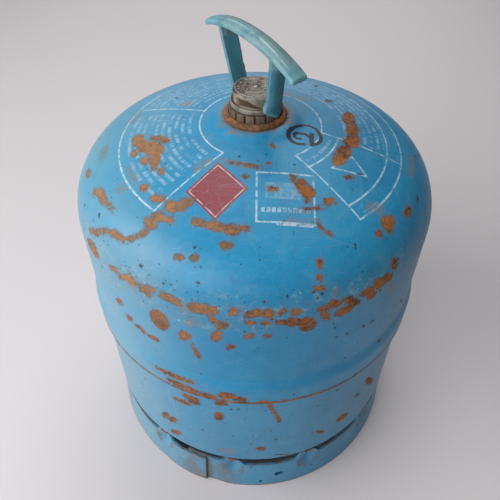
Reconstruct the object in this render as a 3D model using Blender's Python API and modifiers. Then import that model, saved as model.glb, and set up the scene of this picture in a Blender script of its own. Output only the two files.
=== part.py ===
"""A refillable gas cylinder: two deep-drawn steel shells welded round the waist, a rolled foot ring
with a lapped joint, a notched neck with its ball valve inside, and the screwed transport plug with
its folding carry handle.

Metres, +Z up. The origin is on the cylinder's axis, on the floor under the foot ring. The photograph
looks along +Y, so an azimuth is counted from -Y towards +X.
"""

import math

import bmesh
import bpy
from mathutils import Euler, Matrix, Vector

# Clearance that touching pieces keep.
GAP = 0.0003

# The two shells
BODY_RADIUS = 0.1015
SHELL_WALL = 0.0018
SEAM_HEIGHT = 0.1167
LAP_DEPTH = 0.0115
LIP_FLARE_RUN = 0.0055
SHOULDER_HEIGHT = 0.1867
TOP_KNUCKLE = 0.032
TOP_CROWN = 0.205
BASE_CLEARANCE = 0.0076
BASE_KNUCKLE = 0.012
BASE_CROWN = 0.205
SEAM_WELD_WIDTH = 0.0015
SEAM_WELD_HEIGHT = 0.0022

# The foot ring, a rolled steel strip
STRIP_WALL = 0.0017
RING_RADIUS = 0.1033
RING_HEIGHT = 0.0292
RING_TAPER = 0.0027
LUG_COUNT = 12
LUG_TIP_WIDTH = 0.0062
LUG_SWEEP = 0.0062
LUG_AZIMUTH = math.radians(-7.0)
LUG_TIP_ANGLE = math.radians(48.0)
DIMPLE_DEPTH = 0.0019
DIMPLE_WIDTH = 0.0062
DIMPLE_LENGTH = 0.0115
DIMPLE_DROP = 0.0062
LAP_AZIMUTH = math.radians(-17.4)
STRIP_LAP = 0.015
STRIP_STEP_GAP = 0.0022
STRIP_STEP_RUN = 0.018
STRIP_PLUMB_SHARE = 0.05
LUG_START_SHARE = 0.4
LUG_WELD_RADIUS = 0.0009
LUG_WELD_LENGTH = 0.0056
LUG_WELD_ROUNDING = 0.00045
SLOT_AZIMUTH = math.radians(11.2)
SLOT_HEIGHT = 0.0134
SLOT_WIDTH = 0.0059
SLOT_LENGTH = 0.0046
PUNCH_AZIMUTH = math.radians(4.3)
PUNCH_HEIGHT = 0.0058
PUNCH_WIDTH = 0.0056
PUNCH_LENGTH = 0.0036
PUNCH_REACH = 0.017

# The neck
NECK_RISE = 0.0024
NECK_SWELL_WIDTH = 0.0095
NECK_LAND_WIDTH = 0.0006
NECK_WELD_WIDTH = 0.0022
NECK_WELD_HEIGHT = 0.0024
COLLAR_WALL = 0.0022
COLLAR_HEIGHT = 0.0062
NOTCH_COUNT = 16
NOTCH_WIDTH = 0.0013
NOTCH_DEPTH = 0.0011
NOTCH_HEIGHT = 0.0042
SPIGOT_WALL = 0.0017
SPIGOT_LENGTH = 0.016

# The valve inside the neck
THREAD_DEPTH = 0.012
VALVE_WALL = 0.0024
OUTLET_RADIUS = 0.0024
OUTLET_LENGTH = 0.0025
SEAT_THICKNESS = 0.0015
BALL_RADIUS = 0.003
CHAMBER_CLEARANCE = 0.0013
SPRING_RADIUS = 0.0022
SPRING_WIRE = 0.00035
SPRING_LENGTH = 0.0078
SPRING_COILS = 5
RETAINER_THICKNESS = 0.0012
RETAINER_HOLE = 0.0014
STAKED_LIP = 0.0008
STAKED_REACH = 0.0011

# The transport plug
STUD_RADIUS = 0.0073
SEAL_THICKNESS = 0.0018
SEAL_HOLE = 0.0026
PLUG_CAP_RADIUS = 0.0121
PLUG_CAP_HEIGHT = 0.0015
PLUG_WAIST_INSET = 0.0003
PLUG_FLANGE_OVERHANG = 0.0013
PLUG_FLANGE_HEIGHT = 0.0027
PLUG_EDGE = 0.0005
TRUNNION_RADIUS = 0.0017
TRUNNION_DEPTH = 0.0026
POCKET_LEDGE = 0.0003
WINDOW_AZIMUTH = math.radians(-14.0)
WINDOW_DEPTH = 0.0032
WINDOW_TOP_END = -0.001
WINDOW_BOTTOM_END = 0.0062

# The carry handle
HANDLE_AZIMUTH = math.radians(34.0)
HANDLE_LEAN = math.radians(5.9)
LEG_WIDTH = 0.0092
LEG_THICKNESS = 0.0044
LEG_SPLAY = math.radians(12.8)
LEG_EDGE_DEPTH = 0.0022
LEG_FOOT_SWEEP = math.radians(80)
GRIP_HEIGHT = 0.0322
GRIP_HALF_LENGTH = 0.0384
GRIP_ARCH = 0.0072
GRIP_ARCH_POWER = 2.2
GRIP_WIDTH = 0.0086
GRIP_END_WIDTH = 0.0089
GRIP_THICKNESS = 0.0030
GRIP_END_THICKNESS = 0.0026
GRIP_RIDGE = 0.0020
GRIP_END_RIDGE = 0.0006
GRIP_EDGE = 0.0008

# How finely round things are cut
SHELL_STEPS = 60
NECK_STEPS = 48
FINE_STEPS = 24
WIRE_STEPS = 12
BEAD_STEPS = 10
WELD_STEPS = 3
SWELL_STEPS = 3
CROWN_STEPS = 4
TOP_KNUCKLE_STEPS = 5
BASE_KNUCKLE_STEPS = 6
STRIP_COLUMN = math.radians(2.5)
GRIP_CUTS = (14, 4, 1)
LEG_CUTS = (1, 6, 11)
LEG_FOOT_ROWS = 4

# Sizes that follow from the ones above
LIP_RADIUS = BODY_RADIUS + GAP + SHELL_WALL
LAP_TOP = SEAM_HEIGHT + LAP_DEPTH
FLARE_BOTTOM = LAP_TOP + GAP
FLARE_TOP = FLARE_BOTTOM + LIP_FLARE_RUN


def head_angle(knuckle, crown):
    """The angle off the axis at which a dished head's knuckle meets its crown."""
    return math.asin((BODY_RADIUS - knuckle) / (crown - knuckle))


def head_depth(knuckle, crown):
    return crown - (crown - knuckle) * math.cos(head_angle(knuckle, crown))


CROWN_TOP = SHOULDER_HEIGHT + head_depth(TOP_KNUCKLE, TOP_CROWN)
KNUCKLE_BASE = BASE_CLEARANCE + head_depth(BASE_KNUCKLE, BASE_CROWN)

BORE_RADIUS = STUD_RADIUS + GAP
VALVE_RADIUS = BORE_RADIUS + VALVE_WALL
SPIGOT_RADIUS = VALVE_RADIUS + GAP + SPIGOT_WALL
NECK_HOLE = SPIGOT_RADIUS + GAP
COLLAR_RADIUS = SPIGOT_RADIUS + COLLAR_WALL
NECK_WELD_INNER = COLLAR_RADIUS + GAP
NECK_LAND = NECK_WELD_INNER + NECK_WELD_WIDTH + NECK_LAND_WIDTH
NECK_SWELL = NECK_LAND + NECK_SWELL_WIDTH


def crown_height(radius):
    """The height of the upper shell's outer face on its crown."""
    return CROWN_TOP - TOP_CROWN + math.sqrt(TOP_CROWN**2 - radius**2)


LAND_HEIGHT = crown_height(NECK_LAND) + NECK_RISE
COLLAR_BASE = LAND_HEIGHT + GAP
COLLAR_TOP = COLLAR_BASE + COLLAR_HEIGHT

SEAT_FACE = COLLAR_TOP - THREAD_DEPTH
STUD_END = SEAT_FACE + SEAL_THICKNESS + 2 * GAP
CHAMBER_RADIUS = BALL_RADIUS + CHAMBER_CLEARANCE
CHAMBER_TOP = SEAT_FACE - OUTLET_LENGTH
SEAT_TOP = CHAMBER_TOP - GAP
SEAT_BOTTOM = SEAT_TOP - SEAT_THICKNESS
BALL_CENTRE = SEAT_BOTTOM - math.sqrt((BALL_RADIUS + GAP) ** 2 - OUTLET_RADIUS**2)
SPRING_REACH = BALL_RADIUS + GAP + SPRING_WIRE
SPRING_TOP = BALL_CENTRE - math.sqrt(SPRING_REACH**2 - SPRING_RADIUS**2)
SPRING_BOTTOM = SPRING_TOP - SPRING_LENGTH
RETAINER_TOP = SPRING_BOTTOM - SPRING_WIRE - GAP
RETAINER_BOTTOM = RETAINER_TOP - RETAINER_THICKNESS
CHAMBER_BOTTOM = RETAINER_BOTTOM - GAP
VALVE_BOTTOM = CHAMBER_BOTTOM - STAKED_LIP

PLUG_WAIST_RADIUS = PLUG_CAP_RADIUS - PLUG_WAIST_INSET
PLUG_FLANGE_RADIUS = PLUG_CAP_RADIUS + PLUG_FLANGE_OVERHANG
PLUG_WAIST_HEIGHT = 2 * (TRUNNION_RADIUS + GAP + POCKET_LEDGE)
PLUG_BOTTOM = COLLAR_TOP + GAP
FLANGE_TOP = PLUG_BOTTOM + PLUG_FLANGE_HEIGHT
WAIST_TOP = FLANGE_TOP + PLUG_WAIST_HEIGHT
PLUG_TOP = WAIST_TOP + PLUG_CAP_HEIGHT
PIVOT_HEIGHT = FLANGE_TOP + PLUG_WAIST_HEIGHT / 2
LEG_INNER = max(COLLAR_RADIUS, PLUG_FLANGE_RADIUS) + GAP
POCKET_FLOOR = PLUG_WAIST_RADIUS - TRUNNION_DEPTH - GAP


def clear_scene():
    for each in list(bpy.data.objects):
        bpy.data.objects.remove(each, do_unlink=True)


def collection(name):
    made = bpy.data.collections.new(name)
    bpy.context.scene.collection.children.link(made)
    return made


def material(name, colour, roughness, metallic):
    made = bpy.data.materials.new(name)
    made.use_nodes = True
    shader = made.node_tree.nodes["Principled BSDF"]
    shader.inputs["Base Color"].default_value = (*colour, 1.0)
    shader.inputs["Roughness"].default_value = roughness
    shader.inputs["Metallic"].default_value = metallic
    made.diffuse_color = (*colour, 1.0)
    return made


def add_object(name, mesh, finish, where, crease=math.radians(35)):
    mesh.materials.append(finish)
    mesh.shade_smooth()
    mesh.set_sharp_from_angle(angle=crease)
    made = bpy.data.objects.new(name, mesh)
    where.objects.link(made)
    return made


def finish_bmesh(name, shape):
    mesh = bpy.data.meshes.new(name)
    shape.to_mesh(mesh)
    shape.free()
    return mesh


def make_helper(shape):
    """Marks an object that cuts or joins another one."""
    shape.hide_render = True
    shape.display_type = "WIRE"
    return shape


def arc(centre, radius, start, end, count):
    """Points round a centre; angles are from +r, counter-clockwise, in the profile's plane."""
    found = []
    for step in range(count + 1):
        angle = start + (end - start) * step / count
        found.append((centre[0] + radius * math.cos(angle), centre[1] + radius * math.sin(angle)))
    return found


def smooth(value):
    value = min(max(value, 0.0), 1.0)
    return value * value * (3 - 2 * value)


def turned(name, profile, finish, where, steps, ring=False):
    """Turns a profile of (radius, height) points about Z. A ring's profile is a closed loop."""
    shape = bmesh.new()
    points = [shape.verts.new((radius, 0.0, height)) for radius, height in profile]
    for first, second in zip(points, points[1:]):
        shape.edges.new((first, second))
    if ring:
        shape.edges.new((points[-1], points[0]))
    made = add_object(name, finish_bmesh(name, shape), finish, where)
    screw = made.modifiers.new("Turn", "SCREW")
    screw.axis = "Z"
    screw.angle = math.tau
    screw.steps = steps
    screw.render_steps = steps
    screw.use_merge_vertices = True
    screw.merge_threshold = 0.00001
    return made


def cut(target, cutter, operation="DIFFERENCE"):
    change = target.modifiers.new(cutter.name, "BOOLEAN")
    change.operation = operation
    change.solver = "EXACT"
    change.object = cutter


def lattice_block(cuts):
    """A cube from -1 to 1 with evenly spaced edge loops, so that a formula can bend it."""
    shape = bmesh.new()
    bmesh.ops.create_cube(shape, size=2.0)
    for axis, count in enumerate(cuts):
        normal = Vector([float(axis == other) for other in range(3)])
        for step in range(1, count):
            everything = shape.verts[:] + shape.edges[:] + shape.faces[:]
            place = normal * (-1 + 2 * step / count)
            bmesh.ops.bisect_plane(shape, geom=everything, dist=1e-7, plane_co=place, plane_no=normal)
    return shape


def bend(shape, rule):
    for vertex in shape.verts:
        vertex.co = Vector(rule(*vertex.co))
    return shape


def at_azimuth(radius, azimuth, height):
    return Vector((radius * math.sin(azimuth), -radius * math.cos(azimuth), height))


def facing(azimuth):
    """Turns local +X outwards at an azimuth, with local +Y along the wall and +Z up."""
    return Euler((0.0, 0.0, azimuth - math.pi / 2))


# The shells


def upper_shell(finish, where):
    """The dome and the upper wall, with its flared lip and the swell that carries the neck."""
    angle = head_angle(TOP_KNUCKLE, TOP_CROWN)
    crown_centre = (0.0, CROWN_TOP - TOP_CROWN)
    knuckle_centre = (BODY_RADIUS - TOP_KNUCKLE, SHOULDER_HEIGHT)

    def face(depth):
        """The face that lies this deep below the outer one, from the neck down to the lip."""
        found = [(NECK_HOLE, LAND_HEIGHT - depth), (NECK_LAND, LAND_HEIGHT - depth)]
        for step in range(1, SWELL_STEPS):
            share = step / SWELL_STEPS
            radius = NECK_LAND + NECK_SWELL_WIDTH * share
            rise = (LAND_HEIGHT - crown_height(radius)) * (1 - smooth(share))
            found.append((radius, crown_height(radius) + rise - depth))
        start = math.pi / 2 - math.asin(NECK_SWELL / TOP_CROWN)
        end = math.pi / 2 - angle
        found += arc(crown_centre, TOP_CROWN - depth, start, end, CROWN_STEPS)
        found += arc(knuckle_centre, TOP_KNUCKLE - depth, end, 0.0, TOP_KNUCKLE_STEPS)[1:]
        found.append((BODY_RADIUS - depth, FLARE_TOP))
        found.append(((BODY_RADIUS + LIP_RADIUS) / 2 - depth, (FLARE_TOP + FLARE_BOTTOM) / 2))
        found += [(LIP_RADIUS - depth, FLARE_BOTTOM), (LIP_RADIUS - depth, SEAM_HEIGHT)]
        return found

    profile = face(0.0) + face(SHELL_WALL)[::-1]
    return turned("upper_shell", profile, finish, where, SHELL_STEPS, ring=True)


def lower_shell(finish, where):
    """The lower wall, which slips up inside the lip, and the dished bottom."""
    angle = head_angle(BASE_KNUCKLE, BASE_CROWN)
    crown_centre = (0.0, BASE_CLEARANCE + BASE_CROWN)
    knuckle_centre = (BODY_RADIUS - BASE_KNUCKLE, KNUCKLE_BASE)

    def face(depth):
        found = [(BODY_RADIUS - depth, LAP_TOP), (BODY_RADIUS - depth, SEAM_HEIGHT)]
        turn = angle - math.pi / 2
        found += arc(knuckle_centre, BASE_KNUCKLE - depth, 0.0, turn, BASE_KNUCKLE_STEPS)
        found += arc(crown_centre, BASE_CROWN - depth, turn, -math.pi / 2, CROWN_STEPS)[1:]
        return found[:-1] + [(0.0, BASE_CLEARANCE + depth)]

    profile = face(SHELL_WALL)[::-1] + face(0.0)
    return turned("lower_shell", profile, finish, where, SHELL_STEPS)


def weld_face(width, height):
    """The bulging face of a fillet weld, from its foot on the wall (width, 0) to its head (0, height)."""
    angles = [math.pi / 2 * step / WELD_STEPS for step in range(WELD_STEPS + 1)]
    return [(width * math.cos(angle), height * math.sin(angle)) for angle in angles]


def seam_weld(finish, where):
    """The thin fillet under the lip, all round the waist."""
    inner = BODY_RADIUS + GAP
    top = SEAM_HEIGHT - GAP
    face = weld_face(SEAM_WELD_WIDTH, SEAM_WELD_HEIGHT)
    profile = [(inner + out, top - down) for out, down in face] + [(inner, top)]
    return turned("seam_weld", profile, finish, where, SHELL_STEPS, ring=True)


# The foot ring


def lug_tip():
    """Where a lug's outer face ends: its inner corner stops just short of the bottom knuckle."""
    reach = BASE_KNUCKLE + GAP
    radius = BODY_RADIUS - BASE_KNUCKLE + reach * math.cos(LUG_TIP_ANGLE) + STRIP_WALL
    return radius, KNUCKLE_BASE - reach * math.sin(LUG_TIP_ANGLE)


def lug_share(azimuth):
    """1 on a lug, 0 between lugs, with the distance along the strip from the nearest lug."""
    pitch = math.tau / LUG_COUNT
    away = abs((azimuth - LUG_AZIMUTH + pitch / 2) % pitch - pitch / 2) * RING_RADIUS
    return 1 - smooth((away - LUG_TIP_WIDTH / 2) / LUG_SWEEP), away


def strip_point(up, share):
    """A point of the strip's outer face, from the floor (up 0) to its edge (up 1)."""
    radius, height = RING_RADIUS - RING_TAPER * up, RING_HEIGHT * up
    tip_radius, tip_height = lug_tip()
    raised = share * smooth((up - LUG_START_SHARE) / (1 - LUG_START_SHARE))
    radius += (tip_radius - RING_RADIUS + RING_TAPER) * raised
    return radius, height + (tip_height - RING_HEIGHT) * raised


def punched(name, sides, azimuth, height, width, length, finish, helpers):
    """A cutter for a small hole through the strip: four sides, square on or stood on a corner."""
    shape = bmesh.new()
    radius = 0.5 if sides == "diamond" else math.sqrt(0.5)
    bmesh.ops.create_cone(shape, cap_ends=True, segments=4, radius1=radius, radius2=radius, depth=1.0)
    if sides != "diamond":
        bmesh.ops.rotate(shape, verts=shape.verts, matrix=Matrix.Rotation(math.pi / 4, 3, "Z"))
    bmesh.ops.rotate(shape, verts=shape.verts, matrix=Matrix.Rotation(math.pi / 2, 3, "Y"))
    bmesh.ops.scale(shape, verts=shape.verts, vec=(PUNCH_REACH, width, length))
    made = add_object(name, finish_bmesh(name, shape), finish, helpers)
    made.location = at_azimuth(RING_RADIUS, azimuth, height)
    made.rotation_euler = facing(azimuth)
    return make_helper(made)


def foot_ring(finish, where, helpers):
    """A rolled strip whose ends lap, with lugs pressed up and in to carry the body."""
    heights = (0.0, STRIP_PLUMB_SHARE, 0.35, 0.55, 0.7, 0.85, 1.0)
    rows = len(heights) - 1
    lap = STRIP_LAP / RING_RADIUS
    step_start = lap + STRIP_STEP_GAP / RING_RADIUS
    columns = round((math.tau + lap) / STRIP_COLUMN)
    shape = bmesh.new()
    bmesh.ops.create_grid(shape, x_segments=columns, y_segments=rows, size=1.0)

    def on_ring(along, upward, _):
        up = heights[round((upward + 1) / 2 * rows)]
        turn = (along + 1) / 2 * (math.tau + lap)
        azimuth = LAP_AZIMUTH + math.tau - turn
        share, away = lug_share(azimuth)
        radius, height = strip_point(max(up, STRIP_PLUMB_SHARE), share)
        drop = (RING_HEIGHT - DIMPLE_DROP - height) / DIMPLE_LENGTH * 2
        hollow = math.exp(-((away / DIMPLE_WIDTH * 2) ** 2) - drop**2)
        radius -= DIMPLE_DEPTH * hollow
        outside = 1 - smooth((turn - step_start) * RING_RADIUS / STRIP_STEP_RUN)
        inside = 1 - smooth((math.tau + lap - turn - step_start) * RING_RADIUS / STRIP_STEP_RUN)
        radius += (STRIP_WALL + GAP) / 2 * (outside - inside)
        return at_azimuth(radius, azimuth, height if up > 0 else 0.0)

    bend(shape, on_ring)
    made = add_object("foot_ring", finish_bmesh("foot_ring", shape), finish, where)
    wall = made.modifiers.new("Strip wall", "SOLIDIFY")
    wall.thickness = STRIP_WALL
    wall.offset = 1.0
    wall.use_even_offset = True
    slot = (SLOT_AZIMUTH, SLOT_HEIGHT, SLOT_WIDTH, SLOT_LENGTH)
    punch = (PUNCH_AZIMUTH, PUNCH_HEIGHT, PUNCH_WIDTH, PUNCH_LENGTH)
    cut(made, punched("strip_slot", "square", *slot, finish, helpers))
    cut(made, punched("strip_punch", "diamond", *punch, finish, helpers))
    return made


def foot_ring_welds(finish, where):
    """A short bead at the tip of each lug, in the corner under the bottom knuckle.

    The beads share one mesh, and each is turned to its lug.
    """
    tip = Vector(lug_tip())
    knuckle = Vector((BODY_RADIUS - BASE_KNUCKLE, KNUCKLE_BASE))
    reach = BASE_KNUCKLE + LUG_WELD_RADIUS + GAP
    across = tip - knuckle
    near = (across.length_squared + reach**2 - (LUG_WELD_RADIUS + GAP) ** 2) / (2 * across.length)
    side = math.sqrt(max(reach**2 - near**2, 0.0))
    along = across.normalized()
    centre = knuckle + along * near + Vector((-along.y, along.x)) * side
    shape = bmesh.new()
    lie = Matrix.Translation((centre.x, 0.0, centre.y)) @ Matrix.Rotation(math.pi / 2, 4, "X")
    bmesh.ops.create_cone(
        shape,
        cap_ends=True,
        segments=BEAD_STEPS,
        radius1=LUG_WELD_RADIUS,
        radius2=LUG_WELD_RADIUS,
        depth=LUG_WELD_LENGTH,
        matrix=lie,
    )
    ends = [edge for edge in shape.edges if edge.calc_face_angle() > math.radians(60)]
    bmesh.ops.bevel(shape, geom=ends, offset=LUG_WELD_ROUNDING, segments=2, profile=0.5, affect="EDGES")
    bead = finish_bmesh("foot_ring_weld", shape)
    bead.materials.append(finish)
    bead.shade_smooth()
    for index in range(LUG_COUNT):
        made = bpy.data.objects.new(f"foot_ring_weld_{index + 1}", bead)
        made.rotation_euler = facing(LUG_AZIMUTH + math.tau * index / LUG_COUNT)
        where.objects.link(made)


# The neck and its valve


def neck_boss(finish, where, helpers):
    """The welded-in boss: a spigot through the dome under a notched collar."""
    bore = VALVE_RADIUS + GAP
    low = LAND_HEIGHT - SPIGOT_LENGTH
    profile = [
        (bore, COLLAR_TOP),
        (COLLAR_RADIUS - PLUG_EDGE, COLLAR_TOP),
        (COLLAR_RADIUS, COLLAR_TOP - PLUG_EDGE),
        (COLLAR_RADIUS, COLLAR_BASE),
        (SPIGOT_RADIUS, COLLAR_BASE),
        (SPIGOT_RADIUS, low),
        (bore, low),
    ]
    made = turned("neck_boss", profile, finish, where, NECK_STEPS, ring=True)
    shape = bmesh.new()
    for index in range(NOTCH_COUNT):
        azimuth = math.tau * index / NOTCH_COUNT
        place = Matrix.Translation(at_azimuth(COLLAR_RADIUS, azimuth, COLLAR_TOP))
        size = Matrix.Diagonal((2 * NOTCH_DEPTH, NOTCH_WIDTH, 2 * NOTCH_HEIGHT, 1.0))
        lie = place @ facing(azimuth).to_matrix().to_4x4() @ size
        bmesh.ops.create_cube(shape, size=1.0, matrix=lie)
    notches = add_object("collar_notches", finish_bmesh("collar_notches", shape), finish, helpers)
    cut(made, make_helper(notches))
    return made


def neck_weld(finish, where):
    low = LAND_HEIGHT + GAP
    face = weld_face(NECK_WELD_WIDTH, NECK_WELD_HEIGHT)
    profile = [(NECK_WELD_INNER + out, low + up) for out, up in face[::-1]] + [(NECK_WELD_INNER, low)]
    return turned("neck_weld", profile, finish, where, NECK_STEPS, ring=True)


def valve_body(finish, where):
    """The brass insert: the threaded mouth, the seat, the outlet and the ball's chamber."""
    lip = CHAMBER_RADIUS - STAKED_REACH
    profile = [
        (BORE_RADIUS, COLLAR_TOP),
        (VALVE_RADIUS, COLLAR_TOP),
        (VALVE_RADIUS, VALVE_BOTTOM),
        (lip, VALVE_BOTTOM),
        (lip, CHAMBER_BOTTOM),
        (CHAMBER_RADIUS, CHAMBER_BOTTOM),
        (CHAMBER_RADIUS, CHAMBER_TOP),
        (OUTLET_RADIUS, CHAMBER_TOP),
        (OUTLET_RADIUS, SEAT_FACE),
        (BORE_RADIUS, SEAT_FACE),
    ]
    return turned("valve_body", profile, finish, where, NECK_STEPS, ring=True)


def washer(name, inner, outer, low, high, finish, where):
    profile = [(inner, high), (outer, high), (outer, low), (inner, low)]
    return turned(name, profile, finish, where, FINE_STEPS, ring=True)


def valve_ball(finish, where):
    shape = bmesh.new()
    bmesh.ops.create_uvsphere(shape, u_segments=16, v_segments=10, radius=BALL_RADIUS)
    made = add_object("valve_ball", finish_bmesh("valve_ball", shape), finish, where)
    made.location.z = BALL_CENTRE
    return made


def valve_spring(finish, where):
    """The coil under the ball; it is squeezed when the regulator's pin pushes the ball down."""
    route = bpy.data.curves.new("valve_spring", "CURVE")
    route.dimensions = "3D"
    route.bevel_depth = SPRING_WIRE
    route.bevel_resolution = 2
    route.use_fill_caps = True
    coil = route.splines.new("POLY")
    count = SPRING_COILS * WIRE_STEPS + 1
    coil.points.add(count - 1)
    for index, point in enumerate(coil.points):
        angle = math.tau * index / WIRE_STEPS
        height = SPRING_BOTTOM + SPRING_LENGTH * index / (count - 1)
        point.co = (SPRING_RADIUS * math.cos(angle), SPRING_RADIUS * math.sin(angle), height, 1.0)
    route.materials.append(finish)
    made = bpy.data.objects.new("valve_spring", route)
    where.objects.link(made)
    return made


# The transport plug


def plug_window(azimuth, finish, helpers):
    """The flat recess in the plug's waist; one end slants."""
    floor = PLUG_WAIST_RADIUS - WINDOW_DEPTH
    low = FLANGE_TOP + POCKET_LEDGE
    high = WAIST_TOP - POCKET_LEDGE
    shape = bmesh.new()
    bmesh.ops.create_cube(shape, size=2.0)

    def window(out, along, up):
        far_end = WINDOW_BOTTOM_END if up < 0 else WINDOW_TOP_END
        return (
            floor if out < 0 else PLUG_FLANGE_RADIUS,
            far_end if along > 0 else -PLUG_FLANGE_RADIUS,
            low if up < 0 else high,
        )

    bend(shape, window)
    name = f"plug_window_{round(math.degrees(azimuth))}"
    made = add_object(name, finish_bmesh(name, shape), finish, helpers)
    made.rotation_euler = facing(azimuth)
    return make_helper(made)


def plug_pocket(azimuth, finish, helpers):
    """The round hole that takes one of the handle's trunnions."""
    shape = bmesh.new()
    outer = PLUG_FLANGE_RADIUS + GAP
    length = outer - POCKET_FLOOR
    radius = TRUNNION_RADIUS + GAP
    middle = Matrix.Translation((POCKET_FLOOR + length / 2, 0.0, PIVOT_HEIGHT))
    lie = middle @ Matrix.Rotation(math.pi / 2, 4, "Y")
    bmesh.ops.create_cone(
        shape, cap_ends=True, segments=FINE_STEPS, radius1=radius, radius2=radius, depth=length, matrix=lie
    )
    name = f"plug_pocket_{round(math.degrees(azimuth))}"
    made = add_object(name, finish_bmesh(name, shape), finish, helpers)
    made.rotation_euler = facing(azimuth)
    return make_helper(made)


def transport_plug(finish, where, helpers):
    """One casting: the stud that closes the valve, a flange, a pierced waist and a flat cap."""
    profile = [
        (0.0, PLUG_TOP),
        (PLUG_CAP_RADIUS - PLUG_EDGE, PLUG_TOP),
        (PLUG_CAP_RADIUS, PLUG_TOP - PLUG_EDGE),
        (PLUG_CAP_RADIUS, WAIST_TOP),
        (PLUG_WAIST_RADIUS, WAIST_TOP),
        (PLUG_WAIST_RADIUS, FLANGE_TOP),
        (PLUG_FLANGE_RADIUS - PLUG_EDGE, FLANGE_TOP),
        (PLUG_FLANGE_RADIUS, FLANGE_TOP - PLUG_EDGE),
        (PLUG_FLANGE_RADIUS, PLUG_BOTTOM + PLUG_EDGE),
        (PLUG_FLANGE_RADIUS - PLUG_EDGE, PLUG_BOTTOM),
        (STUD_RADIUS, PLUG_BOTTOM),
        (STUD_RADIUS, STUD_END),
        (0.0, STUD_END),
    ]
    made = turned("transport_plug", profile, finish, where, NECK_STEPS)
    for half_turn in (0.0, math.pi):
        cut(made, plug_window(WINDOW_AZIMUTH + half_turn, finish, helpers))
        cut(made, plug_pocket(HANDLE_AZIMUTH + half_turn, finish, helpers))
    return made


# The carry handle


def grip_share(along):
    return min(abs(along) / GRIP_HALF_LENGTH, 1.0)


def grip_line(along):
    """The height of the grip's middle above the pivot."""
    return GRIP_HEIGHT - GRIP_ARCH * grip_share(along) ** GRIP_ARCH_POWER


def grip_block(finish, where):
    """The arched bar, with a low ridge along its top and narrower ends."""

    def grip(along, across, up):
        place = along * GRIP_HALF_LENGTH
        share = grip_share(place) ** 2
        width = GRIP_WIDTH + (GRIP_END_WIDTH - GRIP_WIDTH) * share
        thick = GRIP_THICKNESS + (GRIP_END_THICKNESS - GRIP_THICKNESS) * share
        height = grip_line(place) + up * thick / 2
        if up > 0:
            height += (GRIP_RIDGE + (GRIP_END_RIDGE - GRIP_RIDGE) * share) * (1 - abs(across))
        return place, across * width / 2, height

    shape = bend(lattice_block(GRIP_CUTS), grip)
    made = add_object("carry_handle", finish_bmesh("carry_handle", shape), finish, where)
    rounded = made.modifiers.new("Moulded edges", "BEVEL")
    rounded.width = GRIP_EDGE
    rounded.segments = 2
    rounded.limit_method = "ANGLE"
    rounded.angle_limit = math.radians(50)
    return made


def leg_block(side, finish, helpers):
    """One leg: flat inside, half round outside, with a round foot about the pivot."""
    rows = LEG_CUTS[2]
    half = LEG_WIDTH / 2
    top = grip_line(LEG_INNER + LEG_THICKNESS) - GRIP_THICKNESS / 4

    def leg(out, across, up):
        row = round((up + 1) / 2 * rows)
        if row < LEG_FOOT_ROWS:
            angle = LEG_FOOT_SWEEP * (1 - row / LEG_FOOT_ROWS)
            height = -half * math.sin(angle)
            width = half * math.cos(angle)
        else:
            height = top * (row - LEG_FOOT_ROWS) / (rows - LEG_FOOT_ROWS)
            width = half
        inner = LEG_INNER + max(height, 0.0) * math.tan(LEG_SPLAY)
        depth = LEG_THICKNESS + (LEG_EDGE_DEPTH - LEG_THICKNESS) * abs(across) ** 3
        if out < 0:
            depth = 0.0
        return side * (inner + depth), across * width, height

    name = "handle_leg_near" if side > 0 else "handle_leg_far"
    shape = bend(lattice_block(LEG_CUTS), leg)
    if side < 0:
        bmesh.ops.reverse_faces(shape, faces=shape.faces)
    return make_helper(add_object(name, finish_bmesh(name, shape), finish, helpers))


def trunnion(side, finish, helpers):
    """The stub inside a leg that turns in the plug's pocket."""
    start = POCKET_FLOOR + GAP
    end = LEG_INNER + LEG_THICKNESS / 3
    lie = Matrix.Translation((side * (start + end) / 2, 0.0, 0.0)) @ Matrix.Rotation(math.pi / 2, 4, "Y")
    shape = bmesh.new()
    bmesh.ops.create_cone(
        shape,
        cap_ends=True,
        segments=FINE_STEPS,
        radius1=TRUNNION_RADIUS,
        radius2=TRUNNION_RADIUS,
        depth=end - start,
        matrix=lie,
    )
    name = "handle_trunnion_near" if side > 0 else "handle_trunnion_far"
    return make_helper(add_object(name, finish_bmesh(name, shape), finish, helpers))


def carry_handle(finish, where, helpers):
    """The moulded handle, standing up with a slight lean; its parent is on the pivot line."""
    pivot = bpy.data.objects.new("handle_pivot", None)
    pivot.empty_display_size = LEG_WIDTH
    pivot.location = (0.0, 0.0, PIVOT_HEIGHT)
    pivot.rotation_euler = (HANDLE_LEAN, 0.0, HANDLE_AZIMUTH - math.pi / 2)
    where.objects.link(pivot)
    made = grip_block(finish, where)
    made.parent = pivot
    for side in (1, -1):
        for piece in (leg_block(side, finish, helpers), trunnion(side, finish, helpers)):
            piece.parent = pivot
            cut(made, piece, "UNION")
    return made


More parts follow.
